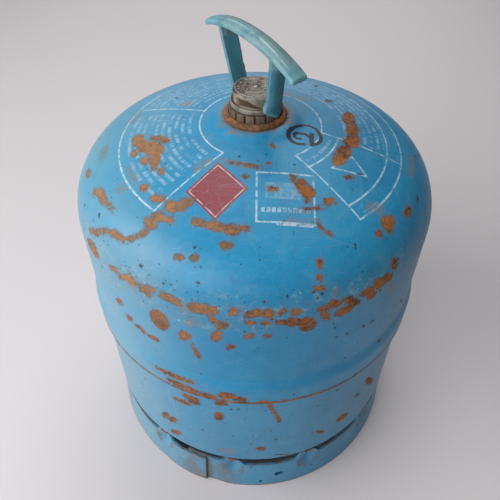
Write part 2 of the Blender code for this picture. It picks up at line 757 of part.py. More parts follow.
def main():
    clear_scene()
    where = collection("gas_cylinder")
    helpers = collection("cutters")
    paint = material("blue_paint", (0.09, 0.36, 0.58), 0.42, 0.0)
    rust = material("rusty_weld", (0.36, 0.15, 0.05), 0.85, 0.0)
    steel = material("rusty_steel", (0.32, 0.25, 0.18), 0.6, 0.6)
    brass = material("brass", (0.58, 0.42, 0.16), 0.38, 1.0)
    rubber = material("rubber", (0.03, 0.03, 0.03), 0.8, 0.0)
    bright = material("bright_steel", (0.62, 0.62, 0.62), 0.25, 1.0)
    zinc = material("cast_zinc", (0.38, 0.35, 0.3), 0.55, 0.8)
    plastic = material("teal_plastic", (0.13, 0.4, 0.42), 0.5, 0.0)

    upper_shell(paint, where)
    lower_shell(paint, where)
    seam_weld(rust, where)
    foot_ring(paint, where, helpers)
    foot_ring_welds(rust, where)
    neck_boss(steel, where, helpers)
    neck_weld(rust, where)
    valve_body(brass, where)
    washer("valve_seat", OUTLET_RADIUS, CHAMBER_RADIUS - GAP, SEAT_BOTTOM, SEAT_TOP, rubber, where)
    valve_ball(bright, where)
    valve_spring(bright, where)
    retainer = CHAMBER_RADIUS - GAP
    washer("spring_retainer", RETAINER_HOLE, retainer, RETAINER_BOTTOM, RETAINER_TOP, brass, where)
    transport_plug(zinc, where, helpers)
    seal = (SEAL_HOLE, STUD_RADIUS - GAP, SEAT_FACE + GAP, SEAT_FACE + GAP + SEAL_THICKNESS)
    washer("plug_seal", *seal, rubber, where)
    carry_handle(plastic, where, helpers)


main()
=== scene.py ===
# %% [markdown]
# # A rusty gas cylinder
#
# This lesson dresses a small refillable gas cylinder. The imported model already holds every piece at
# its real size, so here we only make the surfaces that the eye meets: sheet steel under worn blue
# paint, rust where the paint has gone, a cast plug and a moulded handle. Everything is in metres, with
# +Z up and the floor at zero. We load the model first.

import math

import bmesh
import bpy
import numpy as np
from mathutils import Matrix, Vector, noise
from mathutils.bvhtree import BVHTree


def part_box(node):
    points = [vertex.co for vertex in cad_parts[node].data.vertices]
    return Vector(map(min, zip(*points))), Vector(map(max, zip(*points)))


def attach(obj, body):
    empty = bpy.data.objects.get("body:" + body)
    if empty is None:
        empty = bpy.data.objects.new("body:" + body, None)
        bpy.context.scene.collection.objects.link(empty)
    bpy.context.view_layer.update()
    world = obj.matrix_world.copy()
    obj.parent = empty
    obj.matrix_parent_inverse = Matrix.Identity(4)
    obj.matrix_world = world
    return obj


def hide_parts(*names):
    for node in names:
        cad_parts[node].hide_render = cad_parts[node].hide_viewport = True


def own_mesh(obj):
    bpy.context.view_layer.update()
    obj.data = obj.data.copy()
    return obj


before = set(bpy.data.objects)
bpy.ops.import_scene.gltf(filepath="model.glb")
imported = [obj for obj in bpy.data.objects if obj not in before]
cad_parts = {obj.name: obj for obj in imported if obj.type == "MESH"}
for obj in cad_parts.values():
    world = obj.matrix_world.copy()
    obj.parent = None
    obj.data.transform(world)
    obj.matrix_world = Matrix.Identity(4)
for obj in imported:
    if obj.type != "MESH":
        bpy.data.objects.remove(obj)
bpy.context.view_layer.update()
scene = bpy.context.scene
scene.view_settings.view_transform = "Standard"

# %% [markdown]
# ## The camera
#
# A photograph is easiest to match when the camera comes first. This one looks down at 45.65 degrees
# from the front. Its height and distance are real lengths, and its focal length is given in pixels
# of the 500 pixel square picture, so that a pixel can be turned into a ray later on.

# %% Camera
PICTURE = 500
FOCAL_PIXELS = 540.0
SIDE_PIXELS = -5.216
CAMERA_BACK = 0.25105
CAMERA_HEIGHT = 0.38878
CAMERA_DIP = math.radians(45.65)
CAMERA_ROLL = math.radians(0.402)
SENSOR = 36.0

swing = math.atan(SIDE_PIXELS / FOCAL_PIXELS)
forward = Vector(
    (
        math.sin(swing) * math.cos(CAMERA_DIP), math.cos(swing) * math.cos(CAMERA_DIP),
        -math.sin(CAMERA_DIP),
    )
)
level = forward.cross(Vector((0, 0, 1))).normalized()
upright = level.cross(forward)
right = level * math.cos(CAMERA_ROLL) + upright * math.sin(CAMERA_ROLL)
above = upright * math.cos(CAMERA_ROLL) - level * math.sin(CAMERA_ROLL)
eye = Vector((0.0, -CAMERA_BACK, CAMERA_HEIGHT))

camera = bpy.data.objects.new("camera", bpy.data.cameras.new("camera"))
camera.data.sensor_width = SENSOR
camera.data.lens = FOCAL_PIXELS / PICTURE * SENSOR
camera.data.clip_start = 0.01
camera.matrix_world = Matrix.Translation(eye) @ Matrix((right, above, -forward)).transposed().to_4x4()
scene.collection.objects.link(camera)
scene.camera = camera
print("the lens is", round(camera.data.lens, 1), "mm")


def ray_through(x, y):
    """The direction in which a pixel of the photograph lies, seen from the camera."""
    return (forward * FOCAL_PIXELS + right * (x - PICTURE / 2) - above * (y - PICTURE / 2)).normalized()

# %% [markdown]
# ## Floor and light
#
# The cylinder stands on a pale table beside a window. The light comes from the left and falls off to
# the right, as in the photograph: a high and a low lamp for the window, one from the front left, and
# two soft ones above and behind. A faint world fills the shadows.

# %% Floor, lamps and world
FLOOR_SIZE = 8.0
FLOOR_COLOUR = (0.635, 0.6, 0.62)
WORLD_COLOUR = (0.93, 0.95, 1.0)
WORLD_STRENGTH = 0.14


def loose_object(name, shape):
    """An object of the scene with this bmesh as its mesh. The bmesh goes."""
    mesh = bpy.data.meshes.new(name)
    shape.to_mesh(mesh)
    shape.free()
    made = bpy.data.objects.new(name, mesh)
    scene.collection.objects.link(made)
    return made


shape = bmesh.new()
bmesh.ops.create_grid(shape, x_segments=2, y_segments=2, size=FLOOR_SIZE / 2)
floor = loose_object("floor", shape)
floor_finish = bpy.data.materials.new("pale_floor")
floor_finish.use_nodes = True
floor_shader = floor_finish.node_tree.nodes["Principled BSDF"]
floor_shader.inputs["Base Color"].default_value = (*FLOOR_COLOUR, 1.0)
floor_shader.inputs["Roughness"].default_value = 0.55
floor.data.materials.append(floor_finish)

world = bpy.data.worlds.new("soft_room")
world.use_nodes = True
sky = world.node_tree.nodes["Background"]
sky.inputs["Color"].default_value = (*WORLD_COLOUR, 1.0)
sky.inputs["Strength"].default_value = WORLD_STRENGTH
scene.world = world


def lamp(name, place, target, size, power, colour):
    data = bpy.data.lights.new(name, "AREA")
    data.shape = "RECTANGLE"
    data.size, data.size_y = size
    data.energy = power
    data.color = colour
    made = bpy.data.objects.new(name, data)
    made.location = place
    made.rotation_euler = (Vector(target) - Vector(place)).to_track_quat("-Z", "Y").to_euler()
    scene.collection.objects.link(made)
    print("lamp", name, "gives", power, "watts")


SOFT_WHITE = (1.0, 0.99, 0.975)
AIM = (0.0, 0.0, 0.15)
lamp("window", (-0.8, -0.2, 0.85), AIM, (0.7, 0.7), 5.9, SOFT_WHITE)
lamp("low window", (-1.0, -0.4, 0.5), AIM, (0.8, 0.8), 3.2, SOFT_WHITE)
lamp("front left", (-0.6, -0.9, 0.7), AIM, (0.8, 0.8), 7.9, SOFT_WHITE)
lamp("ceiling", (0.1, 0.5, 1.3), AIM, (0.9, 0.9), 5.6, SOFT_WHITE)
lamp("behind", (0.0, 1.1, 0.7), AIM, (1.2, 1.2), 3.4, SOFT_WHITE)

# %% [markdown]
# ## Making a piece
#
# Every piece goes the same way: a bmesh is shaped, becomes a mesh, is shaded smooth except at its
# sharp corners, and is told which body of the model it rides on and which model piece it stands for.

# %% Helpers for pieces
SMOOTH_UP_TO = math.radians(38)
SECTORS = 12


def add_piece(name, shape, body, slot, *replaced, smooth_up_to=SMOOTH_UP_TO):
    made = loose_object(name, shape)
    made.data.shade_smooth()
    made.data.set_sharp_from_angle(angle=smooth_up_to)
    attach(made, body)
    if replaced:
        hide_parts(*replaced)
    print(name, "has", len(made.data.polygons), "faces")
    return made


def spun(profile, steps, closed=True):
    """Spins a list of (radius, height) points about Z: one sector first, then copies of it all round."""
    shape = bmesh.new()
    points = [shape.verts.new((radius, 0.0, height)) for radius, height in profile]
    lines = [shape.edges.new(pair) for pair in zip(points, points[1:])]
    if closed:
        lines.append(shape.edges.new((points[-1], points[0])))
    bmesh.ops.spin(
        shape, geom=points + lines, cent=(0, 0, 0), axis=(0, 0, 1), dvec=(0, 0, 0),
        angle=math.tau / SECTORS, steps=steps // SECTORS, use_merge=False,
    )
    sector = shape.verts[:] + shape.edges[:] + shape.faces[:]
    for index in range(1, SECTORS):
        copied = bmesh.ops.duplicate(shape, geom=sector)["geom"]
        corners = [each for each in copied if isinstance(each, bmesh.types.BMVert)]
        bmesh.ops.rotate(
            shape, verts=corners, cent=(0, 0, 0),
            matrix=Matrix.Rotation(math.tau * index / SECTORS, 3, "Z"),
        )
    bmesh.ops.remove_doubles(shape, verts=shape.verts, dist=1e-6)
    bmesh.ops.recalc_face_normals(shape, faces=shape.faces)
    return shape


def arc(centre, radius, start, end, count):
    """Points round a centre, counted from the outward direction towards up."""
    turns = [start + (end - start) * step / count for step in range(count + 1)]
    return [(centre[0] + radius * math.cos(turn), centre[1] + radius * math.sin(turn)) for turn in turns]


def ease(value):
    value = min(max(value, 0.0), 1.0)
    return value * value * (3 - 2 * value)


def outwards(point, amount):
    """Moves a point away from the cylinder's axis."""
    flat = Vector((point.x, point.y, 0.0))
    return point + flat.normalized() * amount if flat.length > 0 else point


def at_azimuth(radius, azimuth, height):
    return Vector((radius * math.sin(azimuth), -radius * math.cos(azimuth), height))

# %% [markdown]
# ## The body
#
# The body is two deep-drawn shells. Each is a profile spun about the axis, as the press and the
# trimming lathe leave it: a wide crown, a tight knuckle and a straight wall. Real sheet is never
# quite true, so a slow noise moves the surface by a tenth of a millimetre, which is enough to make
# its reflections swim a little.

# %% Body sizes
GAP = 0.0003
BODY_RADIUS = 0.1015
SHELL_WALL = 0.0018
SHOULDER_HEIGHT = 0.1867
SEAM_HEIGHT = 0.1167
TOP_KNUCKLE = 0.032
TOP_CROWN = 0.205
BASE_KNUCKLE = 0.012
BASE_CROWN = 0.205
LIP_FLARE_RUN = 0.0095
SWELL_WIDTH = 0.0095
NECK_HOLE = 0.0123
NECK_LAND = 0.0173
SHEET_WAVE = 0.00012
SHELL_STEPS = 480

upper_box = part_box("upper_shell")
lower_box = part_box("lower_shell")
land_height = upper_box[1].z
lap_top = lower_box[1].z
base_clearance = lower_box[0].z
lip_radius = upper_box[1].x
top_angle = math.asin((BODY_RADIUS - TOP_KNUCKLE) / (TOP_CROWN - TOP_KNUCKLE))
base_angle = math.asin((BODY_RADIUS - BASE_KNUCKLE) / (BASE_CROWN - BASE_KNUCKLE))
crown_top = SHOULDER_HEIGHT + TOP_CROWN - (TOP_CROWN - TOP_KNUCKLE) * math.cos(top_angle)
knuckle_base = base_clearance + BASE_CROWN - (BASE_CROWN - BASE_KNUCKLE) * math.cos(base_angle)
print("the dome rises to", round(crown_top * 1000, 1), "mm")


def dome_height(radius):
    return crown_top - TOP_CROWN + math.sqrt(TOP_CROWN**2 - radius**2)

# %% Upper and lower shell
def upper_face(depth, fine):
    """One face of the upper shell, this deep below the paint, from the neck to the lip."""
    found = [(NECK_HOLE, land_height - depth), (NECK_LAND, land_height - depth)]
    for step in range(1, fine // 2):
        share = 2 * step / fine
        radius = NECK_LAND + SWELL_WIDTH * share
        rise = (land_height - dome_height(radius)) * (1 - ease(share))
        found.append((radius, dome_height(radius) + rise - depth))
    start = math.pi / 2 - math.asin((NECK_LAND + SWELL_WIDTH) / TOP_CROWN)
    end = math.pi / 2 - top_angle
    found += arc((0.0, crown_top - TOP_CROWN), TOP_CROWN - depth, start, end, 5 * fine // 2)
    found += arc(
        (BODY_RADIUS - TOP_KNUCKLE, SHOULDER_HEIGHT), TOP_KNUCKLE - depth, end, 0.0, 2 * fine
    )[1:]
    flare_bottom = lap_top + GAP
    flare_top = flare_bottom + LIP_FLARE_RUN
    for step in range(1, 2 * fine):
        found.append(
            (BODY_RADIUS - depth, SHOULDER_HEIGHT + (flare_top - SHOULDER_HEIGHT) * step / fine / 2)
        )
    for step in range(fine + 1):
        share = step / fine
        radius = BODY_RADIUS + (lip_radius - BODY_RADIUS) * ease(share)
        found.append((radius - depth, flare_top - LIP_FLARE_RUN * share))
    for step in range(1, fine // 2):
        found.append((lip_radius - depth, flare_bottom + (SEAM_HEIGHT - flare_bottom) * 2 * step / fine))
    found.append((lip_radius - depth, SEAM_HEIGHT))
    return found


def lower_face(depth, fine):
    """One face of the lower shell, from its tucked-in top to the middle of the bottom."""
    turn = base_angle - math.pi / 2
    found = [(BODY_RADIUS - depth, lap_top)]
    for step in range(1, fine):
        found.append((BODY_RADIUS - depth, lap_top + (knuckle_base - lap_top) * step / fine))
    found += arc((BODY_RADIUS - BASE_KNUCKLE, knuckle_base), BASE_KNUCKLE - depth, 0.0, turn, fine // 2)
    found += arc(
        (0.0, base_clearance + BASE_CROWN), BASE_CROWN - depth, turn, -math.pi / 2, fine // 2
    )[1:]
    return found[:-1] + [(0.0, base_clearance + depth)]


def wave_sheet(shape, amount):
    for vertex in shape.verts:
        wave = noise.noise(vertex.co * 22) + 0.4 * noise.noise(vertex.co * 70)
        vertex.co = outwards(vertex.co, wave * amount)
    return shape


upper = spun(upper_face(0.0, 20) + upper_face(SHELL_WALL, 3)[::-1], SHELL_STEPS)
upper_shell = add_piece(
    "painted_upper_shell", wave_sheet(upper, SHEET_WAVE), "cylinder", "blue_paint", "upper_shell"
)
lower = spun(lower_face(SHELL_WALL, 12)[::-1] + lower_face(0.0, 60), SHELL_STEPS, closed=False)
lower_shell = add_piece(
    "painted_lower_shell", wave_sheet(lower, SHEET_WAVE), "cylinder", "blue_paint", "lower_shell"
)

# %% [markdown]
# ## Pixels on the body
#
# Marks such as a flake of rust belong at a certain place of the photograph. A ray through that pixel
# is followed until it meets the shells, so a mark is found on the steel itself and stays there from
# every side.

# %% Where a pixel lies on the shells
seen = bmesh.new()
seen.from_mesh(upper_shell.data)
seen.from_mesh(lower_shell.data)
shell_tree = BVHTree.FromBMesh(seen)
seen.free()


def on_body(x, y):
    """The point of the shells under a pixel, and the way out of the steel there."""
    point, normal, _, _ = shell_tree.ray_cast(eye, ray_through(x, y))
    if point is None:
        raise ValueError(f"pixel {x}, {y} misses the body")
    return point, normal


middle = on_body(PICTURE / 2, PICTURE / 2)[0] * 1000
print("the middle of the picture lies at", [round(value) for value in middle], "mm")

# %% [markdown]
# ## Weld beads
#
# The two shells are joined by a thin fillet under the lip, and the neck by a fatter one. A weld bead
# isn't a clean ring: it swells and thins as the torch moves. So each bead is spun from a rounded
# profile and then pushed about by a noise that runs along it.

# %% Seam bead and neck bead
SEAM_WELD_WIDTH = 0.0015
SEAM_WELD_HEIGHT = 0.0022
NECK_WELD_WIDTH = 0.0022
NECK_WELD_HEIGHT = 0.0024
BEAD_STEPS = 720
BEAD_LUMPS = 0.00016


def bead(inner, corner_height, width, height):
    """A bulging fillet against the wall: height is positive above the corner, negative below it."""
    corner = (inner, corner_height)
    turns = [math.pi / 2 * step / 6 for step in range(7)]
    face = [(inner + width * math.cos(turn), corner_height + height * math.sin(turn)) for turn in turns]
    return spun([corner] + face, BEAD_STEPS)


def lump(shape, inner, amount, scale):
    for vertex in shape.verts:
        if math.hypot(vertex.co.x, vertex.co.y) > inner + GAP:
            vertex.co = outwards(vertex.co, amount * noise.noise(vertex.co * scale))
    return shape


neck_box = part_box("neck_weld")
neck_weld_inner = neck_box[1].x - NECK_WELD_WIDTH
seam_weld_inner = BODY_RADIUS + GAP
seam = lump(
    bead(seam_weld_inner, SEAM_HEIGHT - GAP, SEAM_WELD_WIDTH, -SEAM_WELD_HEIGHT), seam_weld_inner,
    BEAD_LUMPS, 400,
)
neck = lump(
    bead(neck_weld_inner, neck_box[0].z, NECK_WELD_WIDTH, NECK_WELD_HEIGHT), neck_weld_inner,
    2.5 * BEAD_LUMPS, 260,
)
seam_bead = add_piece("waist_weld_bead", seam, "cylinder", "rusty_weld", "seam_weld")
neck_bead = add_piece("neck_weld_bead", neck, "cylinder", "rusty_weld", "neck_weld")

# %% [markdown]
# ## The foot ring
#
# The foot ring is a steel strip, rolled round, with its ends lapped and a row of lugs pressed up and
# in from its upper edge. We lay the strip out flat as a grid and bend every point of the grid to its
# place, which is just what the press does. Solidify then gives the sheet its thickness, Bevel breaks
# its cut edges, and two small cutters punch the drain slot and the hole.

# %% Foot ring sizes
STRIP_WALL = 0.0017
RING_RADIUS = 0.1033
RING_HEIGHT = 0.0274
RING_TAPER = 0.0027
LUG_COUNT = 12
LUG_TIP_WIDTH = 0.0062
LUG_SWEEP = 0.0062
LUG_AZIMUTH = math.radians(-7.0)
LUG_TIP_ANGLE = math.radians(48.0)
LUG_START_SHARE = 0.4
DIMPLE_DEPTH = 0.0029
DIMPLE_WIDTH = 0.0076
DIMPLE_LENGTH = 0.0115
DIMPLE_DROP = 0.0044
LAP_AZIMUTH = math.radians(-17.4)
STRIP_LAP = 0.015
STRIP_STEP_GAP = 0.0022
STRIP_STEP_RUN = 0.018
STRIP_PLUMB_SHARE = 0.05
STRIP_COLUMN = math.radians(1.0)
STRIP_ROWS = 20
STRIP_EDGE = 0.0003
STRIP_WAVE = 0.0002
SLOT = (math.radians(11.2), 0.0134, 0.0059, 0.0046, 0)
HOLE = (math.radians(4.3), 0.0058, 0.0056, 0.0036, 1)


def lug_tip():
    reach = BASE_KNUCKLE + GAP
    radius = BODY_RADIUS - BASE_KNUCKLE + reach * math.cos(LUG_TIP_ANGLE) + STRIP_WALL
    return radius, knuckle_base - reach * math.sin(LUG_TIP_ANGLE)


def lug_share(azimuth):
    """1 on a lug and 0 between lugs, with the distance along the strip from the nearest lug."""
    pitch = math.tau / LUG_COUNT
    away = abs((azimuth - LUG_AZIMUTH + pitch / 2) % pitch - pitch / 2) * RING_RADIUS
    return 1 - ease((away - LUG_TIP_WIDTH / 2) / LUG_SWEEP), away


def strip_point(up, share):
    """A point of the strip's outer face, from the floor (up 0) to its cut edge (up 1)."""
    tip_radius, tip_height = lug_tip()
    raised = share * ease((up - LUG_START_SHARE) / (1 - LUG_START_SHARE))
    radius = RING_RADIUS - RING_TAPER * up + (tip_radius - RING_RADIUS + RING_TAPER) * raised
    height = RING_HEIGHT * up
    return radius, height + (tip_height - RING_HEIGHT) * raised

# %% Bend the strip
def bend_strip(shape):
    lap = STRIP_LAP / RING_RADIUS
    step_start = lap + STRIP_STEP_GAP / RING_RADIUS
    for vertex in shape.verts:
        up = (vertex.co.y + 1) / 2
        turn = (vertex.co.x + 1) / 2 * (math.tau + lap)
        azimuth = LAP_AZIMUTH + math.tau - turn
        share, away = lug_share(azimuth)
        radius, height = strip_point(max(up, STRIP_PLUMB_SHARE), share)
        drop = (RING_HEIGHT - DIMPLE_DROP - height) / DIMPLE_LENGTH * 2
        radius -= DIMPLE_DEPTH * math.exp(-((away / DIMPLE_WIDTH * 2) ** 2) - drop**2)
        outside = 1 - ease((turn - step_start) * RING_RADIUS / STRIP_STEP_RUN)
        inside = 1 - ease((math.tau + lap - turn - step_start) * RING_RADIUS / STRIP_STEP_RUN)
        radius += (STRIP_WALL + GAP) / 2 * (outside - inside)
        place = at_azimuth(radius, azimuth, height if up > 0 else 0.0)
        free = ease(up * 3) * (1 - share) * (1 - max(outside, inside))
        vertex.co = outwards(place, STRIP_WAVE * free * noise.noise(place * 30))


def punch(azimuth, height, width, length, quarter):
    """A cutter through the strip. A quarter of 0 stands it square, and of 1 on its corner."""
    shape = bmesh.new()
    bmesh.ops.create_cube(shape, size=1.0)
    side = 1.0 if quarter == 0 else math.sqrt(0.5)
    bmesh.ops.scale(shape, verts=shape.verts, vec=(8 * STRIP_WALL, side, side))
    bmesh.ops.rotate(shape, verts=shape.verts, matrix=Matrix.Rotation(quarter * math.pi / 4, 3, "X"))
    bmesh.ops.scale(shape, verts=shape.verts, vec=(1.0, width, length))
    place = Matrix.Translation(at_azimuth(RING_RADIUS, azimuth, height))
    bmesh.ops.transform(
        shape, verts=shape.verts, matrix=place @ Matrix.Rotation(azimuth - math.pi / 2, 4, "Z")
    )
    return shape


def as_bmesh(made, *helpers):
    """The object with its modifiers done, as a new bmesh. The object and its helpers go."""
    seen = made.evaluated_get(bpy.context.evaluated_depsgraph_get())
    shape = bmesh.new()
    shape.from_mesh(seen.to_mesh())
    seen.to_mesh_clear()
    for each in (made, *helpers):
        bpy.data.objects.remove(each, do_unlink=True)
    return shape


strip = bmesh.new()
columns = round((math.tau + STRIP_LAP / RING_RADIUS) / STRIP_COLUMN)
bmesh.ops.create_grid(strip, x_segments=columns, y_segments=STRIP_ROWS, size=1.0)
bend_strip(strip)
strip = loose_object("strip", strip)
slot_cutter = loose_object("slot_cutter", punch(*SLOT))
hole_cutter = loose_object("hole_cutter", punch(*HOLE))
wall = strip.modifiers.new("Strip wall", "SOLIDIFY")
wall.thickness = STRIP_WALL
wall.offset = 1.0
wall.use_even_offset = True
for cutter in (slot_cutter, hole_cutter):
    opening = strip.modifiers.new("Punched", "BOOLEAN")
    opening.object = cutter
    opening.solver = "EXACT"
edges = strip.modifiers.new("Broken edges", "BEVEL")
edges.width = STRIP_EDGE
edges.segments = 2
edges.angle_limit = math.radians(50)
foot_ring = add_piece(
    "rolled_foot_ring", as_bmesh(strip, slot_cutter, hole_cutter), "cylinder", "blue_paint", "foot_ring"
)

# %% [markdown]
# ## Small turned and cast pieces
#
# The collar, the valve and the plug already have their true form in the model. A sharp model edge
# never catches the light, though, and every real one does. So the model's mesh is copied, its loose
# triangles are merged and dissolved into clean faces, and every sharp edge gets a tiny bevel.

# %% Break the edges of a model piece
CORNER = math.radians(40)


def broken_edges(node, width, segments=2):
    shape = bmesh.new()
    shape.from_mesh(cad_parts[node].data)
    bmesh.ops.remove_doubles(shape, verts=shape.verts, dist=1e-6)
    bmesh.ops.dissolve_limit(
        shape, angle_limit=math.radians(1.0), verts=shape.verts, edges=shape.edges,
        use_dissolve_boundaries=False,
    )
    sharp = [edge for edge in shape.edges if edge.is_manifold and edge.calc_face_angle() > CORNER]
    bmesh.ops.bevel(
        shape, geom=sharp, offset=width, offset_type="OFFSET", segments=segments, profile=0.5,
        affect="EDGES", clamp_overlap=True, material=-1,
    )
    bmesh.ops.triangulate(shape, faces=[face for face in shape.faces if len(face.verts) > 4])
    return shape


collar = add_piece(
    "notched_collar", broken_edges("neck_boss", 0.00022), "cylinder", "rusty_steel", "neck_boss"
)
brass_insert = add_piece(
    "brass_insert", broken_edges("valve_body", 0.00018), "cylinder", "brass", "valve_body"
)
plug = add_piece(
    "cast_plug", broken_edges("transport_plug", 0.00028), "plug", "cast_zinc", "transport_plug"
)

# %% [markdown]
# ## Relief and thread of the plug
#
# The casting carries low relief on its cap: two rings, a hub, and marks between them. None of it
# spells anything here. Its stud has a screw thread, which shows when the plug is backed out. A spin
# that also climbs turns one small wedge into a helix.

# %% Relief on the cap
plug_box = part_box("transport_plug")
RELIEF_HEIGHT = 0.00034
RELIEF_SINK = 0.0002
CAP_TOP = plug_box[1].z
FLANGE_TOP = 0.2446
RING_LINES = ((0.0107, 0.0006), (0.0069, 0.00035), (0.0034, 0.00035))
MARK_RADIUS = 0.0088
MARK_COUNT = 26
MARK_SIZE = (0.00036, 0.0016)
INNER_RADIUS = 0.0052
INNER_COUNT = 9
INNER_START = 0.2
INNER_LEAN = 0.9
CHORD_BAR = (0.0063, math.radians(181.5), (0.0004, 0.0100), math.radians(-106.6))


def ridge(radius, width):
    """The profile of a raised ring, a little narrower at its top."""
    low = CAP_TOP - RELIEF_SINK
    high = CAP_TOP + RELIEF_HEIGHT
    half = width / 2
    top = 0.6 * half
    return [(radius + half, low), (radius + top, high), (radius - top, high), (radius - half, low)]


def join(target, shape):
    mesh = bpy.data.meshes.new("joined")
    shape.to_mesh(mesh)
    shape.free()
    target.from_mesh(mesh)
    bpy.data.meshes.remove(mesh)


def raised_bar(shape, radius, turn, size, lean=0.0):
    """A low bar on the cap, centred this far out, with its size along and across the ring."""
    middle = CAP_TOP + (RELIEF_HEIGHT - RELIEF_SINK) / 2
    place = Matrix.Translation((radius * math.cos(turn), radius * math.sin(turn), middle))
    form = Matrix.Diagonal((size[1], size[0], RELIEF_HEIGHT + RELIEF_SINK, 1.0))
    bmesh.ops.create_cube(shape, size=1.0, matrix=place @ Matrix.Rotation(turn + lean, 4, "Z") @ form)


relief = bmesh.new()
for radius, width in RING_LINES:
    join(relief, spun(ridge(radius, width), 72))
hub = (
    (0.0, CAP_TOP + 2 * RELIEF_HEIGHT), (0.0009, CAP_TOP + 1.6 * RELIEF_HEIGHT),
    (0.0013, CAP_TOP - RELIEF_SINK),
)
join(relief, spun(hub, 24, closed=False))
for index in range(MARK_COUNT):
    turn = math.tau * index / MARK_COUNT
    kind = (index * 7) % 5
    size = (MARK_SIZE[0] * (1 + kind % 2), MARK_SIZE[1] * (0.7 + 0.1 * kind))
    if kind:
        raised_bar(relief, MARK_RADIUS, turn, size, 0.3 * (kind - 2))
for index in range(INNER_COUNT):
    turn = math.tau * index / INNER_COUNT + INNER_START
    raised_bar(relief, INNER_RADIUS, turn, (0.0005, 0.0011 + 0.0003 * (index % 3)), INNER_LEAN)
raised_bar(relief, *CHORD_BAR)
cap_relief = add_piece("plug_cap_relief", relief, "plug", "cast_zinc")

# %% Thread on the stud
PITCH = 0.0015
THREAD_TURNS = 5.6
THREAD_STEPS = 40
STUD_RADIUS = 0.0073
THREAD_CREST = 0.00022


def helix(radius, crest, start):
    """A wedge that climbs one pitch for each turn."""
    shape = bmesh.new()
    low, high = radius - GAP, radius + crest
    wedge = ((low, -0.4 * PITCH), (high, -0.06 * PITCH), (high, 0.06 * PITCH), (low, 0.4 * PITCH))
    points = [shape.verts.new((out, 0.0, start + up)) for out, up in wedge]
    face = shape.faces.new(points)
    count = round(THREAD_TURNS * THREAD_STEPS)
    bmesh.ops.spin(
        shape, geom=points + face.edges[:] + [face], cent=(0, 0, 0), axis=(0, 0, 1),
        dvec=(0, 0, PITCH / THREAD_STEPS), angle=math.tau * THREAD_TURNS, steps=count, use_merge=False,
    )
    bmesh.ops.recalc_face_normals(shape, faces=shape.faces)
    return shape


thread = helix(STUD_RADIUS, THREAD_CREST, plug_box[0].z + 0.5 * PITCH)
plug_thread = add_piece("plug_thread", thread, "plug", "cast_zinc")
print("the thread climbs to", round(max(v.co.z for v in plug_thread.data.vertices) * 1000, 1), "mm")

# %% [markdown]
# ## The handle
#
# A moulded handle has soft edges and fillets where its legs meet the grip. Its model is built from
# blocks, so a fine voxel remesh fuses them into one skin, and a few rounds of smoothing melt the
# corners. The far leg has a nibbled edge, and the skin is pushed in there. The near leg swells into a
# round boss where it turns on the plug.

# %% Moulded handle
HANDLE_VOXEL = 0.00036
HANDLE_SMOOTHING = 7
HANDLE_AZIMUTH = math.radians(34.0)
PIVOT_HEIGHT = 0.2467
NIBBLE_RANGE = (0.2555, 0.2725)
NIBBLE_DEPTH = 0.0044
BOSS_REACH = 0.0056
BOSS_SWELL = 0.28
BOSS_START = 0.008
NIBBLE_START = 0.003
NIBBLE_RAMP = 0.0012
NIBBLE_SCALE = 520
NIBBLE_SHARE = 0.12
NOISE_SLICE = (3.7, 1.3)

block = bmesh.new()
block.from_mesh(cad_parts["carry_handle"].data)
bmesh.ops.remove_doubles(block, verts=block.verts, dist=1e-6)
block = loose_object("handle_block", block)
skin = block.modifiers.new("Skin", "REMESH")
skin.mode = "VOXEL"
skin.voxel_size = HANDLE_VOXEL
handle_shape = as_bmesh(block)
for _ in range(HANDLE_SMOOTHING):
    bmesh.ops.smooth_vert(
        handle_shape, verts=handle_shape.verts, factor=0.5, use_axis_x=True, use_axis_y=True,
        use_axis_z=True,
    )

handle_along = at_azimuth(1.0, HANDLE_AZIMUTH, 0.0)
handle_across = Vector((0, 0, 1)).cross(handle_along)
low, high = NIBBLE_RANGE
for vertex in handle_shape.verts:
    across = vertex.co.dot(handle_across)
    along = vertex.co.dot(handle_along)
    if along < 0 and across > NIBBLE_START and low < vertex.co.z < high:
        rough = noise.noise(Vector((*NOISE_SLICE, vertex.co.z * NIBBLE_SCALE))) + NIBBLE_SHARE
        bite = max(rough, 0.0) * ease((across - NIBBLE_START) / NIBBLE_RAMP)
        vertex.co -= handle_across * NIBBLE_DEPTH * bite
    up = (vertex.co.z - PIVOT_HEIGHT) / BOSS_REACH
    if vertex.co.dot(handle_along) > BOSS_START and across < 0 and abs(up) < 1:
        vertex.co += handle_across * across * BOSS_SWELL * (1 - up * up) ** 2
handle = add_piece(
    "moulded_handle", handle_shape, "handle", "teal_plastic", "carry_handle",
    smooth_up_to=math.radians(60),
)

# %% [markdown]
# ## Marks kept on the steel
#
# Rust doesn't follow a formula, so its larger patches are told one by one: where each lies in the
# photograph, its half length and half width in pixels, and its turn. Each becomes an ellipse on the
# steel, and every point of the shells keeps its distance in millimetres to the nearest one, positive
# inside. The finish will roughen that smooth outline later on.

